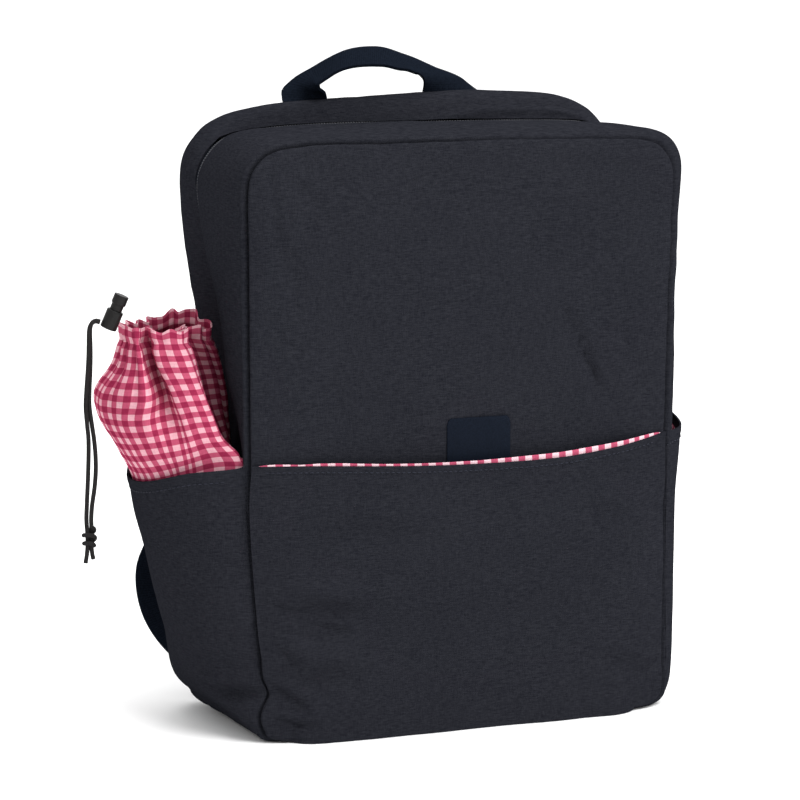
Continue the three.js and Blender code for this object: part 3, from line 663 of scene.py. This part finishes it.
def settled(place):
    by = settleBy
    x, y, z = place / mm
    y0 = y
    right, left = ease(110, 150, x), ease(110, 150, -x)
    # front seams, with the swell behind the right one
    beside = ease(-69, -64, y) * (1 - ease(-48, -5, y))
    dx = right * tableAt(seamRight, 1, z) * (1 - ease(-70.5, -65.5, y))
    dx += right * tableAt(swellRight, 1, z) * beside
    dx += left * tableAt(seamLeft, 1, z) * (1 - ease(-72, -46, y))
    # right top corner and rear roof
    corner = ease(115, 150, x) * ease(355, 395, z) * beside
    behind = ease(18, 44, y) * ease(340, 400, z)
    dx += by["cornerOut"] * corner + by["roofOut"] * behind * (right - left)
    slope = by["roofRight"] * ease(-20, 90, x) - by["roofLeft"] * ease(70, 140, -x)
    dz = by["cornerUp"] * corner + behind * slope
    # left run of the zip, and the wall sunk behind it
    wall = left * (1 - ease(159, 164, -x))
    atRim = ease(-45, 28.5, y) * (1 - ease(31.5, 58, y))
    atZip = atRim * wall
    onRoof = atRim * ease(380, 402, z) * (1 - left) * (1 - right)
    sunken = wall * ease(150, 200, z) * (1 - ease(315, 350, z))
    dx += tableAt(zipLeft, 2, z) * atZip
    dx += sunken * (by["sunk"] * ease(30, 31.5, y) * (1 - ease(40, 55, y)) - by["bulge"] * ease(48, 58, y))
    # the front's foot lies flat and forward, and the left one is lifted
    front = 1 - ease(-66, -52, y)
    onFloor = mix(1, mix(by["footFlat"], 1, ease(3, 40, z)), front * (1 - 0.25 * right))
    footFront = by["footForward"] * front * (1 - ease(5, 75, z)) * (1 - ease(115, 150, abs(x)))
    y -= footFront - tableAt(zipLeft, 1, z) * atZip
    side = ease(105, 150, -x)
    dx -= by["footOut"] * bump(z, 26, 22) * ease(-20, 40, y) * side
    dz += side * tableAt(footLift, 1, y) * (1 - ease(0, 60, z))
    # zip on the roof, and the front seam's top
    dz += tableAt(zipRoof, 2, x) * onRoof
    y += tableAt(zipRoof, 1, x) * onRoof
    nearSeam = 1 - ease(-70, -35, y0)
    dz += tableAt(seamTop, 1, x) * nearSeam * ease(330, 385, z)
    spread = by["seamRight"] * ease(115, 150, x) - by["seamLeft"] * ease(120, 150, -x)
    dx += spread * nearSeam * ease(355, 395, z)
    # rims
    apart = ease(40, 110, z)
    y -= mix(by["footGap"], by["frontGap"], apart) * ease(22, 28, y0) * (1 - ease(28.6, 30, y0))
    y += mix(by["footGap"], by["rearGap"], apart) * ease(30, 31.5, y0) * (1 - ease(32, 40, y0))
    return Vector((x + dx, y, max(z * onFloor + dz, min(z, 0.4)))) * mm


def settlePiece(obj):
    for v in obj.data.vertices:
        v.co = settled(v.co)


# the seam's kink above the front left foot
def pinch(obj):
    for v in obj.data.vertices:
        x, y, z = v.co / mm
        near = ease(112, 140, -x) * (1 - ease(-62, -38, y))
        v.co.x += near * (4.5 * bump(z, 34, 7) - 2.6 * bump(z, 17, 7)) * mm


# moves the open edge of a piece onto the shell that it is sewn to
def sewTo(obj, shells, wanted):
    for i in edgeVertices(obj):
        v = obj.data.vertices[i]
        if wanted(v.co):
            hits = [other.closest_point_on_mesh(v.co) for other in shells]
            found, on, normal, face = min(hits, key=lambda hit: (hit[1] - v.co).length)
            v.co = on + normal * 0.2 * mm


# a compartment's skin, settled and fine, and its seam
def sewnSkin(node, name, bag):
    skin = outerSkin(node, name, bag["rim"])
    ring = ringOf(skin, bag["seam"])
    settlePiece(skin)
    subdivide(skin, 3)
    return skin, seamLine(sorted((skin.data.vertices[i].co.copy() for i in ring), key=roundMiddle))


shell, frontSeam = sewnSkin("front_compartment", "frontShell", frontBag)


def frontLift(place, normal):
    d, run, nearest = fromSeam(frontSeam, place)
    gusset = place.y > nearest.y + 0.2 * mm and abs(normal.y) < 0.9
    beside = welt(d, frontBag["gussetWelt" if gusset else "panelWelt"])
    faint = frontBag["faint"] * ease(-0.06, 0.04, place.x) * ease(0.25, 0.35, place.z)  # at the top right
    lift = (1 - faint) * (beside - welt(d, frontBag["groove"]))
    lift += puckers(d, run, frontBag["puckers"])
    lift += slack(place, frontBag["slack"]) * ease(0, frontBag["taut"], d)
    if normal.y < -0.5:
        lift += creaseLift(place, normal, frontCreases)
    return lift + welt(frontBag["rim"] - place.y, frontBag["rimWelt"])


sculpt(shell, frontLift)
thicken(shell, frontBag["wall"])
finishPiece(shell, "canvas", canvas, "front_compartment")
print("front compartment sewn")


# Rear compartment, and the zip between the two

rearBag = {
    "rim": 31.5 * mm, "seam": 62 * mm, "wall": 1.8 * mm, "groove": (2.2, 0, 1.3),
    "welt": (0.5, 3.2, 1.8), "rimWelt": (1.4, 2.4, 1.5), "puckers": (0.6, 14, 12), "taut": 12 * mm,
    "slack": [(1.6, 0.09), (0.7, 0.035), (0.2, 0.014)], "seed": 4.0,
}
rear, rearSeam = sewnSkin("main_compartment", "rearShell", rearBag)


def rearLift(place, normal):
    d, run, nearest = fromSeam(rearSeam, place)
    lift = welt(d, rearBag["welt"]) - welt(d, rearBag["groove"])
    lift += puckers(d, run, rearBag["puckers"])
    lift += slack(place, rearBag["slack"], rearBag["seed"]) * ease(0, rearBag["taut"], d)
    return lift + welt(place.y - rearBag["rim"], rearBag["rimWelt"])


sculpt(rear, rearLift)
thicken(rear, rearBag["wall"])
finishPiece(rear, "canvas", canvas, "main_compartment")

# the tape runs on under both rims, and its coil ends inside the side pockets
zipLine = {
    "y": 30 * mm, "low": 0.12, "under": 8 * mm, "sunk": 0.2 * mm, "thick": 0.7 * mm, "steps": 560,
    "tooth": (1.5 * mm, 2.0 * mm, 1.6 * mm), "toothEdge": 0.3 * mm, "raised": 0.4, "pitch": 1.9 * mm,
}
tape = outerSkin("zip", "zipTape", zipLine["y"])
dropFaces(tape, lambda c, n: abs(n.y) > 0.9)
for v in tape.data.vertices:
    v.co.y += math.copysign(zipLine["under"], v.co.y - zipLine["y"])
editAll(tape)
for y in (frontBag["rim"], zipLine["y"], rearBag["rim"]):
    bpy.ops.mesh.select_all(action="SELECT")
    bpy.ops.mesh.bisect(plane_co=(0, y, 0), plane_no=(0, 1, 0))
editDone()
middleRing = ringOf(tape, zipLine["y"])
settlePiece(tape)
subdivide(tape, 2)
middleLine = [tape.data.vertices[i].co.copy() for i in middleRing]
middleLine = [place for place in middleLine if place.z > zipLine["low"]]
middleLine.sort(key=lambda place: (roundMiddle(place) + math.pi / 2) % (2 * math.pi))
sculpt(tape, lambda place, normal: -zipLine["sunk"])
thicken(tape, zipLine["thick"])
finishPiece(tape, "webbing", tabLeather, "zip")
middleLine = throughPoints(middleLine, zipLine["steps"])
teethPath = [onPiece(tape, place, zipLine["raised"]) for place in middleLine]
bpy.ops.mesh.primitive_cube_add(size=1)
teeth = named("zipTeeth")
editAll(teeth)
bpy.ops.transform.resize(value=zipLine["tooth"])
bpy.ops.mesh.bevel(offset=zipLine["toothEdge"])
editDone()
alongPath(teeth, teethPath, zipLine["pitch"])
# the teeth carry the zip line's painted highlight in their lighter grey
finishPiece(teeth, "webbing", zipCoilPaintedHighlight)
print("rear compartment and zip closed")


# Front slip pocket, its gingham edge and the tab

slip = {
    "wall": 1.5 * mm, "stitchBelow": 4.2 * mm, "lipWelt": (0.5, 2.4, 2.2),
    "stitchGroove": (0.55, 4.2, 1.2), "stitchPuckers": (0.5, 6, 8), "seamPuckers": (0.8, 14, 12),
    "taut": 30 * mm, "slack": [(2.6, 0.10), (1.5, 0.05), (0.5, 0.024), (0.14, 0.012)], "seed": 1.7,
}
pocketCreases = [
    ((-70, -84, 98), (-136, -80, 105), -5, 10),
    ((-148, -80, 90), (-116, -84, 82), 4, 5.5),
    ((-124, -80, 77), (-82, -84, 72), 3.6, 4.5),
    ((-78, -84, 58), (-130, -80, 56), -4.4, 11),
    ((-146, -80, 63), (-118, -84, 48), 2.8, 7),
    ((-150, -76, 35), (-113, -79, 22), 4.5, 4.5),
    ((-138, -76, 14), (-107, -78, 11), 3, 2.8),
    ((96, -80, 40), (146, -76, 24), 1.2, 6),
    ((70, -84, 150), (128, -82, 132), 1.2, 8),
    ((-20, -86, 150), (-110, -84, 158), -1.6, 10),
]
# the lip's height and how much of the lining shows above it, by x
lipRows = [
    (-152, 188.7, 0.8), (-139, 188.9, 1.3), (-128, 188.9, 1.1), (-121, 188.8, 0.8), (-108, 188.4, 1.7),
    (-95, 187.9, 1.9), (-64, 186.3, 1.3), (-33, 184.8, 1.5), (3, 183.8, 2.1), (32, 183.7, 3.2),
    (62, 184.0, 3.7), (93, 186.5, 3.8), (125, 190.2, 3.2), (139, 192.3, 2.1), (152, 194.5, 1.0),
]
solidLip = {"middle": 183, "ends": 8, "half": 0.1526}


def solidLipAt(x):
    return solidLip["middle"] + solidLip["ends"] * (abs(x) / solidLip["half"]) ** 4


pocket = copyNode("front_pocket", "frontPocket")
dropFaces(pocket, lambda c, n: n.y > -0.3)
rimIndex = edgeVertices(pocket)
for v in pocket.data.vertices:
    side = 1 if v.co.x > 0 else -1
    sewn = v.index in rimIndex and abs(v.co.x) > 0.12 and v.co.z < 0.186
    corner = sewn and v.co.z < 0.03
    onFloor = v.index in rimIndex and not sewn and v.co.z < 0.02
    lipRise = tableAt(lipRows, 1, v.co.x / mm) - solidLipAt(v.co.x)
    v.co.z += lipRise * mm * ease(0.08, 0.18, v.co.z)
    v.co = settled(v.co)
    if corner:
        v.co = fromSeam(frontSeam, v.co)[2]
    if sewn:
        v.co += Vector((mix(0.3, 1.2, ease(0.04, 0.07, v.co.z)) * side, 3.4, 0)) * mm
    if onFloor:
        v.co = Vector((v.co.x, v.co.y - 3 * mm, 0.2 * mm))
subdivide(pocket, 3)
lip = seamLine(edgePath(pocket, lambda p: p.z > 0.16 and abs(p.x) < 0.1465, lambda p: p.x), closed=False)


def pocketLift(place, normal):
    d, run, nearest = fromSeam(lip, place)
    lift = slack(place, slip["slack"], slip["seed"]) * ease(0, slip["taut"], d)
    lift += welt(d, slip["lipWelt"]) - welt(d, slip["stitchGroove"])
    lift += puckers(abs(d - slip["stitchBelow"]), run, slip["stitchPuckers"])
    toSeam, seamRun, nearest = fromSeam(frontSeam, place)
    lift += puckers(toSeam, seamRun, slip["seamPuckers"])
    return lift + creaseLift(place, normal, pocketCreases) * ease(2 * mm, 9 * mm, toSeam)


sculpt(pocket, pocketLift)
thicken(pocket, slip["wall"])
finishPiece(pocket, "canvas", canvas, "front_pocket")
stitchRow("frontPocketStitches", pocket, lip, slip["stitchBelow"], 8)

lining = copyNode("front_pocket_lining", "frontPocketLining")
liningHeight = max(v.co.z for v in lining.data.vertices if abs(v.co.x) < 0.02) - solidLip["middle"] * mm
subdivide(lining, 2)
sculpt(lining, lambda place, normal: 0.25 * mm * noise.noise(place / 0.012))
cutPlaces = []
for v in lining.data.vertices:
    share = abs(v.co.x) / 0.141
    cadLip = solidLipAt(v.co.x) * mm
    v.co.x = 1.06 * v.co.x
    above = (v.co.z - cadLip) / liningHeight
    show = tableAt(lipRows, 2, v.co.x / mm) * mm
    lipZ = tableAt(lipRows, 1, v.co.x / mm) * mm
    v.co.z = lipZ + (above * show if above > 0 else (v.co.z - cadLip) * (1.1 - share ** 4))
    v.co.y += 1.2 * mm * share ** 6
    cutPlaces.append((v.co.x, v.co.z - lipZ - 1.5 * mm))
    v.co = settled(v.co)
cutMap = lining.data.uv_layers.new(name="cut")
for loop, uv in zip(lining.data.loops, cutMap.data):
    uv.uv = cutPlaces[loop.vertex_index]
finishPiece(lining, "gingham", liningGingham, "front_pocket_lining")
smooth(lining, 60)

tab = copyNode("closure_tab", "closureTab")
for v in tab.data.vertices:
    v.co.z -= 1.7 * mm * ease(0.185, 0.21, v.co.z)
roundEdges(tab, 0.5 * mm, 2)
finishPiece(tab, "tab", tabLeather, "closure_tab")
smooth(tab, 40)
print("front pocket sewn on")


# Side pockets

hemShape = {
    "stitchBelow": 8 * mm, "welt": (0.4, 3, 3), "groove": (0.5, 8, 1.2), "puckers": (0.45, 7, 7),
}


def sideLift(place, normal, hem, shape):
    d, run, nearest = fromSeam(hem, place)
    lift = welt(d, hemShape["welt"]) - welt(d, hemShape["groove"])
    lift += puckers(abs(d - hemShape["stitchBelow"]), run, hemShape["puckers"])
    lift += creaseLift(place, normal, shape["creases"]) * ease(2 * mm, 9 * mm, fromSeam(frontSeam, place)[0])
    loose = ease(0, 16 * mm, place.z - shape["tautTo"])
    return lift + loose * slack(place, shape["slack"], shape["seed"])


# a shape gives, among others, the hem's lowest place, the flare by height and the hem's rise by depth
def sidePocket(node, name, shape):
    side, hemLow = shape["side"], shape["hemLow"]
    piece = copyNode(node, name)
    dropFaces(piece, lambda c, n: n.x * side < 0.02 or abs(n.z) > 0.8)
    settlePiece(piece)
    for v in piece.data.vertices:
        v.co.x += side * tableAt(shape["flare"], 1, v.co.z) * mm * ease(0.15, 0.165, abs(v.co.x))
        v.co.z += tableAt(shape["rise"], 1, v.co.y) * mm * ease(0.12, 0.185, v.co.z)
    sewTo(piece, [shell, rear], lambda p: p.z < hemLow or p.y < -60 * mm or p.y > 54 * mm)
    subdivide(piece, 3)
    hem = seamLine(edgePath(piece, lambda p: p.z > hemLow, lambda p: p.y), closed=False)
    sculpt(piece, lambda place, normal: sideLift(place, normal, hem, shape))
    thicken(piece, shape["wall"])
    stitchRow(name + "Stitches", piece, hem, hemShape["stitchBelow"], 10)
    finishPiece(piece, "canvas", canvas, node)
    return piece


leftShape = {
    "side": -1, "wall": 1.5 * mm, "hemLow": 0.168, "flare": [(0.06, 0), (0.17, 4.5)], "rise": [(0, 0)],
    "flat": (0.2, 0.18), "slack": [(1.6, 0.06), (0.7, 0.028), (0.2, 0.013)], "seed": 2.2, "tautTo": 14 * mm,
    "creases": [
        ((-168, -20, 40), (-141, -67, 34), 6, 4.5),
        ((-176, -14, 66), (-150, -62, 44), 1.6, 8),
        ((-200, -12, 120), (-182, -52, 84), 1.2, 9),
        ((-186, 20, 90), (-176, -20, 60), 1, 9),
    ],
}
rightShape = {
    "side": 1, "wall": 1.3 * mm, "hemLow": 0.188, "rise": [(-0.045, 0), (0.005, 5.5)],
    "flare": [(0.03, -0.3), (0.07, -1.4), (0.1, -2.3), (0.122, -3.6), (0.145, -5)],
    "flat": (0.15, 0.19), "slack": [(0.6, 0.05), (0.25, 0.022)], "seed": 5.1, "tautTo": -1, "creases": [],
}
leftPocket = sidePocket("left_pocket", "leftPocket", leftShape)
sidePocket("right_pocket", "rightPocket", rightShape)
rightLining = copyNode("right_pocket_lining", "rightPocketLining")
settlePiece(rightLining)
for v in rightLining.data.vertices:
    v.co.x -= 7.2 * mm
subdivide(rightLining, 2)
finishPiece(rightLining, "gingham", sideGingham, "right_pocket_lining")
smooth(rightLining, 60)
for piece in (shell, pocket, leftPocket):
    pinch(piece)
print("side pockets sewn on")


# Gathered bottle pouch: a flat cut sewn into a sleeve, drawn in at its mouth and left to fold

pouchCut = {
    "around": 0.33, "tall": 0.14, "columns": 176, "rows": 64, "low": -0.14, "high": 1.07,
    "mouth": 271, "hemFront": 190, "hemOuter": 173, "hemRear": 186, "wall": 0.7 * mm,
    "offBag": 2.2 * mm, "frames": 24, "keep": 0.3, "pocketMiddle": (-162, -4), "pocketHalf": (48, 60),
    "cutAt": (-0.17, -0.004, 0.165), "loopSteps": 600,
}
pouchCloth = {
    "quality": 7, "mass": 0.12, "tension_stiffness": 20, "compression_stiffness": 20, "shear_stiffness": 4,
    "bending_stiffness": 0.12, "air_damping": 2, "vertex_group_mass": "held", "use_pressure": True,
    "uniform_pressure_force": 0.6,
}
pouchAcross, pouchNear = Vector((0.932, -0.363, 0)), Vector((-0.363, -0.932, 0))
pouchHeights = [0, 0.2, 0.42, 0.6, 0.8, 1]
# lines that stand from hem to mouth, as places across and near at those heights, once round the sleeve
pouchLines = [
    [(-198, 62), (-207, 66), (-218.5, 70), (-220, 73), (-208, 78), (-202, 82)],  # outermost
    [(-188, 92), (-197, 97), (-208, 101), (-208, 103), (-199, 100), (-197, 96)],
    [(-172, 108), (-180, 116), (-186, 122), (-184, 122), (-187, 113), (-190, 106)],
    [(-160, 112), (-163, 121), (-168, 114), (-173, 100), (-180, 90), (-184, 90)],  # valley from the mouth
    [(-148, 113), (-152, 122), (-158, 124), (-164, 122), (-173, 114), (-178, 108)],
    [(-120, 112), (-134, 116), (-141, 118), (-147, 116), (-153, 111), (-159, 105)],  # ridge
    [(-132, 88), (-143, 76), (-152, 68), (-156, 66), (-160, 72), (-163, 82)],  # deep fold beside the bag
    [(-133, 42), (-133, 38), (-134, 37), (-136, 40), (-139, 50), (-144, 62)],
    [(-152, 28), (-154, 26), (-156, 28), (-156, 34), (-157, 42), (-158, 52)],
    [(-170, 8), (-176, 8), (-182, 12), (-183, 20), (-183, 36), (-181, 50)],
    [(-191, 28), (-200, 30), (-211, 34), (-211, 42), (-201, 56), (-195, 64)],
]
pouchGathers = [(0, 0.2), (0.5, 0.5), (0.75, 1.1), (0.9, 1.8), (1, 2.0), (1.07, 2.6)]  # depth by height
pouchFolds = [(1, 17, 2.2, 0), (0.5, 29, 0, 2)]  # depth, folds round the sleeve, lean, start
mouthRises = [(7, 8.15, 0.75), (-5, 7, 0.5)]  # height, line, width


def onLine(line, up):
    k = 0
    while k < len(pouchHeights) - 2 and up > pouchHeights[k + 1]:
        k += 1
    t = (up - pouchHeights[k]) / (pouchHeights[k + 1] - pouchHeights[k])
    last = len(line) - 1
    near = [Vector(line[min(last, max(0, k + j))]) for j in (-1, 0, 1, 2)]
    return between(*near, min(1.4, max(-1, t)))


def onLoop(turn, up):
    count = len(pouchLines)
    k = math.floor(turn)
    return between(*(onLine(pouchLines[(k + j) % count], up) for j in (-1, 0, 1, 2)), turn - k)


# even steps of cloth round the sleeve
loopTurns = [k * len(pouchLines) / pouchCut["loopSteps"] for k in range(pouchCut["loopSteps"] + 1)]
loopRun = [0]
for a, b in zip(loopTurns, loopTurns[1:]):
    step = sum((onLoop(b, up) - onLoop(a, up)).length for up in (0.3, 0.6, 0.9))
    loopRun.append(loopRun[-1] + step)
loopRows = [(run / loopRun[-1], turn) for run, turn in zip(loopRun, loopTurns)]


def pouchPlace(share, up):
    cut = pouchCut
    turn = tableAt(loopRows, 1, share)
    spot = onLoop(turn, max(up, -0.05))
    along = onLoop(turn + 0.02, max(up, -0.05)) - spot
    outward = Vector((along.y, -along.x)).normalized() * -1
    wave = sum(deep * math.sin(2 * math.pi * count * share + lean * up + start)
               for deep, count, lean, start in pouchFolds)
    taut = 1 - 0.7 * bump(turn, 4.5, 0.5)
    spot += outward * tableAt(pouchGathers, 1, up) * wave * taut
    spot += outward * (1.2 * noise.noise(Vector((share * 14, up * 4.2, 3.1))) - 1.6 * bump(up, 0.965, 0.03))
    foot = onLoop(turn, 0)
    level = pouchAcross * spot.x + pouchNear * spot.y
    footAt = pouchAcross * foot.x + pouchNear * foot.y
    (middleX, middleY), (halfX, halfY) = cut["pocketMiddle"], cut["pocketHalf"]
    angle = math.atan2((footAt.y - middleY) / halfY, -(footAt.x - middleX) / halfX)
    end = cut["hemFront"] if angle < 0 else cut["hemRear"]
    hem = mix(end, cut["hemOuter"], max(0, math.cos(angle)) ** 2)
    rise = sum(high * bump(turn, line, width) for high, line, width in mouthRises) * ease(0.6, 1, up)
    rise += 1.2 * wave * ease(0.95, 1.07, up)
    return Vector((level.x, level.y, mix(hem, cut["mouth"], up) + rise)) * mm


# keeps a piece's points off a shell's outside
def keepOff(obj, shells, distance):
    for v in obj.data.vertices:
        for other in shells:
            found, on, normal, face = other.closest_point_on_mesh(v.co)
            off = (v.co - on).dot(normal)
            if off < distance and (v.co - on).length < 40 * mm:
                v.co = v.co + normal * (distance - off)


bpy.ops.mesh.primitive_grid_add(x_subdivisions=pouchCut["columns"], y_subdivisions=pouchCut["rows"], size=1)
pouch = named("bottlePouch")
for loop in pouch.data.uv_layers[0].data:
    loop.uv = (loop.uv.x * pouchCut["around"], loop.uv.y * pouchCut["tall"])
flat = [(v.co.x + 0.5, v.co.y + 0.5) for v in pouch.data.vertices]
for v, (u, t) in zip(pouch.data.vertices, flat):
    v.co = pouchPlace(u, mix(pouchCut["low"], pouchCut["high"], t))
keepOff(pouch, [shell, rear], pouchCut["offBag"])
pins = pouch.vertex_groups.new(name="held")
for v, (u, t) in zip(pouch.data.vertices, flat):
    up = mix(pouchCut["low"], pouchCut["high"], t)
    held = up < 0.015 or abs(up - 1) < 0.012
    pins.add([v.index], 1.0 if held else pouchCut["keep"], "REPLACE")
pouch.shape_key_add(name="drawn")
slackKey = pouch.shape_key_add(name="cut")
radius = pouchCut["around"] / (2 * math.pi)
cutX, cutY, cutZ = pouchCut["cutAt"]
for point, (u, t) in zip(slackKey.data, flat):
    turn = 2 * math.pi * (1 - u)
    point.co = (cutX - radius * math.cos(turn), cutY + radius * math.sin(turn), cutZ + t * pouchCut["tall"])
slackKey.value = 0


def settleCloth(obj, restKey, frames):
    only(obj)
    cloth = obj.modifiers.new("cloth", "CLOTH")
    setAll(cloth.settings, pouchCloth)
    cloth.settings.rest_shape_key = restKey
    cloth.settings.effector_weights.gravity = 0.25
    cloth.collision_settings.use_collision = False
    cloth.point_cache.frame_start = 1
    cloth.point_cache.frame_end = frames
    for number in range(1, frames + 1):
        bpy.context.scene.frame_set(number)
    bpy.ops.object.convert(target="MESH")
    bpy.context.scene.frame_set(1)


settleCloth(pouch, slackKey, pouchCut["frames"])
editAll(pouch)
bpy.ops.mesh.remove_doubles(threshold=0.15 * mm)
bpy.ops.mesh.normals_make_consistent(inside=False)
editDone()
keepOff(pouch, [shell, rear], pouchCut["offBag"])
subdivide(pouch, 1)
modify(pouch, "SOLIDIFY", thickness=pouchCut["wall"], offset=0)
finishPiece(pouch, "gingham", pouchGingham, "bottle_pouch")
smooth(pouch, 70)
print("pouch gathered")


# Cord lock

lock = {
    "at": (-230.6, -21.8, 284), "axis": (0.367, -0.143, 0.92), "barrel": (5.6, 13), "bore": (4.35, 9.5),
    "plunger": (4.15, 16), "inside": 5, "head": (4.9, 6.4), "sides": 40,
    "barrelEdge": 0.7 * mm, "plungerEdge": 0.8 * mm,
}
barrelRadius, barrelLong = lock["barrel"]
boreRadius, boreDeep = lock["bore"]
plungerRadius, plungerLong = lock["plunger"]
headRadius, headLong = lock["head"]
plungerLow = barrelLong / 2 - lock["inside"]
lockTurn = Vector((0, 0, 1)).rotation_difference(Vector(lock["axis"])).to_matrix().to_4x4()
lockPlace = Matrix.Translation(Vector(lock["at"]) * mm) @ lockTurn


def lockBlank(name, radius, long, low):
    bpy.ops.mesh.primitive_cylinder_add(vertices=lock["sides"], radius=radius * mm, depth=long * mm)
    obj = named(name)
    editAll(obj)
    bpy.ops.transform.translate(value=(0, 0, (low + long / 2) * mm))
    editDone()
    return obj


barrel = lockBlank("cordLockBarrel", barrelRadius, barrelLong, -barrelLong / 2)
pickFaces(barrel, lambda c, n: n.z > 0.9)
bpy.ops.mesh.inset(thickness=(barrelRadius - boreRadius) * mm)
bpy.ops.mesh.extrude_region_move(TRANSFORM_OT_translate={"value": (0, 0, -boreDeep * mm)})
editDone()
roundEdges(barrel, lock["barrelEdge"], 3)
barrel.data.transform(lockPlace)
finishPiece(barrel, "hardware", plastic, "cord_lock_barrel")
smooth(barrel, 40)
plunger = lockBlank("cordLockPlunger", plungerRadius, plungerLong, plungerLow)
headLow = (plungerLow + plungerLong - headLong) * mm
editAll(plunger)
bpy.ops.mesh.bisect(plane_co=(0, 0, headLow), plane_no=(0, 0, 1))
editDone()
pickFaces(plunger, lambda c, n: c.z > headLow and abs(n.z) < 0.5)
bpy.ops.mesh.extrude_region_shrink_fatten(TRANSFORM_OT_shrink_fatten={
    "value": (headRadius - plungerRadius) * mm, "use_even_offset": True})
editDone()
roundEdges(plunger, lock["plungerEdge"], 3)
plunger.data.transform(lockPlace)
finishPiece(plunger, "hardware", plastic, "cord_lock_plunger", body="cord_lock_button")
smooth(plunger, 40)
print("cord lock made")


# Webbing bands: grab handle and strap tails

# a flat band through rows of x, y, z, the direction of its width and its width; its UV map is in metres
def band(name, rows, thick, steps):
    middles = throughPoints([Vector(r[:3]) * mm for r in rows], steps)
    long = lengthOf(middles)
    rowRun = runsOf([Vector(row[:3]) for row in rows])
    bpy.ops.mesh.primitive_grid_add(x_subdivisions=6, y_subdivisions=steps, size=1)
    obj = named(name)
    for v in obj.data.vertices:
        u, k = v.co.x, round((v.co.y + 0.5) * steps)
        want = rowRun[-1] * k / steps
        i = max(j for j in range(len(rows) - 1) if rowRun[j] <= want + 1e-6)
        share = ease(0, 1, (want - rowRun[i]) / (rowRun[i + 1] - rowRun[i]))
        across = Vector(rows[i][3:6]).lerp(Vector(rows[i + 1][3:6]), share)
        v.co = middles[k] + across.normalized() * u * mix(rows[i][6], rows[i + 1][6], share) * mm
    for loop in obj.data.uv_layers[0].data:
        loop.uv = (loop.uv.x * rows[0][6] * mm, loop.uv.y * long)
    modify(obj, "SMOOTH", factor=0.5, iterations=3)
    modify(obj, "SOLIDIFY", thickness=thick * mm, offset=0, use_even_offset=True)
    roundEdges(obj, 0.35 * thick * mm, 2, 60)
    smooth(obj, 50)
    return obj


# the handle's band is cut slantwise at the right foot, so it is wider there
handleRows = [
    (-65, 58.6, 414, -1, 0, 0, 34), (-67, 58.4, 423, -0.85, 0.5, 0, 34),
    (-66.7, 58, 428.6, -0.3, 0.95, 0.05, 35), (-59, 56.5, 434.8, 0.2, 0.93, 0.26, 35),
    (-37.5, 55, 445.6, 0.38, 0.88, 0.33, 35),
    (-13.9, 55, 447.4, 0.35, 0.89, 0.33, 35), (3.4, 56, 443.2, 0.55, 0.8, 0.2, 36),
    (21.5, 57, 437, 0.77, 0.6, 0, 37), (37, 58, 430, 0.9, 0.4, -0.11, 46), (46, 58.6, 414, 1, 0, 0, 52),
]
handle = band("topHandle", handleRows, thick=2.2, steps=72)
finishPiece(handle, "webbing", webbing, "top_handle")

# the webbing goes under, over and under the three bars of the adjuster: places along it and out of its plane
adjuster = {
    "middle": (120.5, 113.75, 144), "up": (-15, -1.5, 32),
    "threaded": [(24, -1.5), (12.5, -3.2), (6.9, -3.2), (4.6, 0), (2.3, 3.2), (-2.3, 3.2), (-4.6, 0),
                 (-6.9, -3.2), (-13, -3.3)],
}
tailWidth = 27.4
tailRows = [(147, 117, 110), (161, 117, 84), (160, 106, 57), (149, 89, 37), (135, 66.6, 26), (127, 57, 21)]
up = Vector(adjuster["up"]).normalized()
out = (Vector((0, 1, 0)) - up * up.y).normalized()
tailPlaces = [Vector(adjuster["middle"]) + up * far + out * high for far, high in adjuster["threaded"]]
tailPlaces += [Vector(row) for row in tailRows]
for side, name in sides:
    rows = []
    for i, place in enumerate(tailPlaces):
        along = -up
        if i >= len(adjuster["threaded"]):
            along = (tailPlaces[min(len(tailPlaces) - 1, i + 1)] - tailPlaces[i - 1]).normalized()
        normal = (Vector((0, 1, 0)) - along * along.y).normalized()
        across = normal.cross(along)
        width = (across.x, side * across.y, side * across.z)
        rows.append((side * place.x, place.y, place.z, *width, tailWidth))
    tail = band("strapTail_" + name, rows, thick=1.8, steps=240)
    finishPiece(tail, "webbing", webbing, "strap_tail_" + name)


# Shoulder straps, padded

strapPad = {"slack": [(0.5, 0.04), (0.25, 0.018)], "seed": 3.3, "fill": 0.7}
for side, name in sides:
    strap = copyNode("shoulder_strap_" + name, "shoulderStrap_" + name)
    subdivide(strap, 2)
    sculpt(strap, lambda place, normal: slack(place, strapPad["slack"], strapPad["seed"]))
    finishPiece(strap, "canvas", canvas, "shoulder_strap_" + name)
    smooth(strap, 60)
for node in ("zip_slider", "strap_adjuster_left", "strap_adjuster_right"):
    paint(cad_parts[node], plastic)
print("handle and straps fitted")
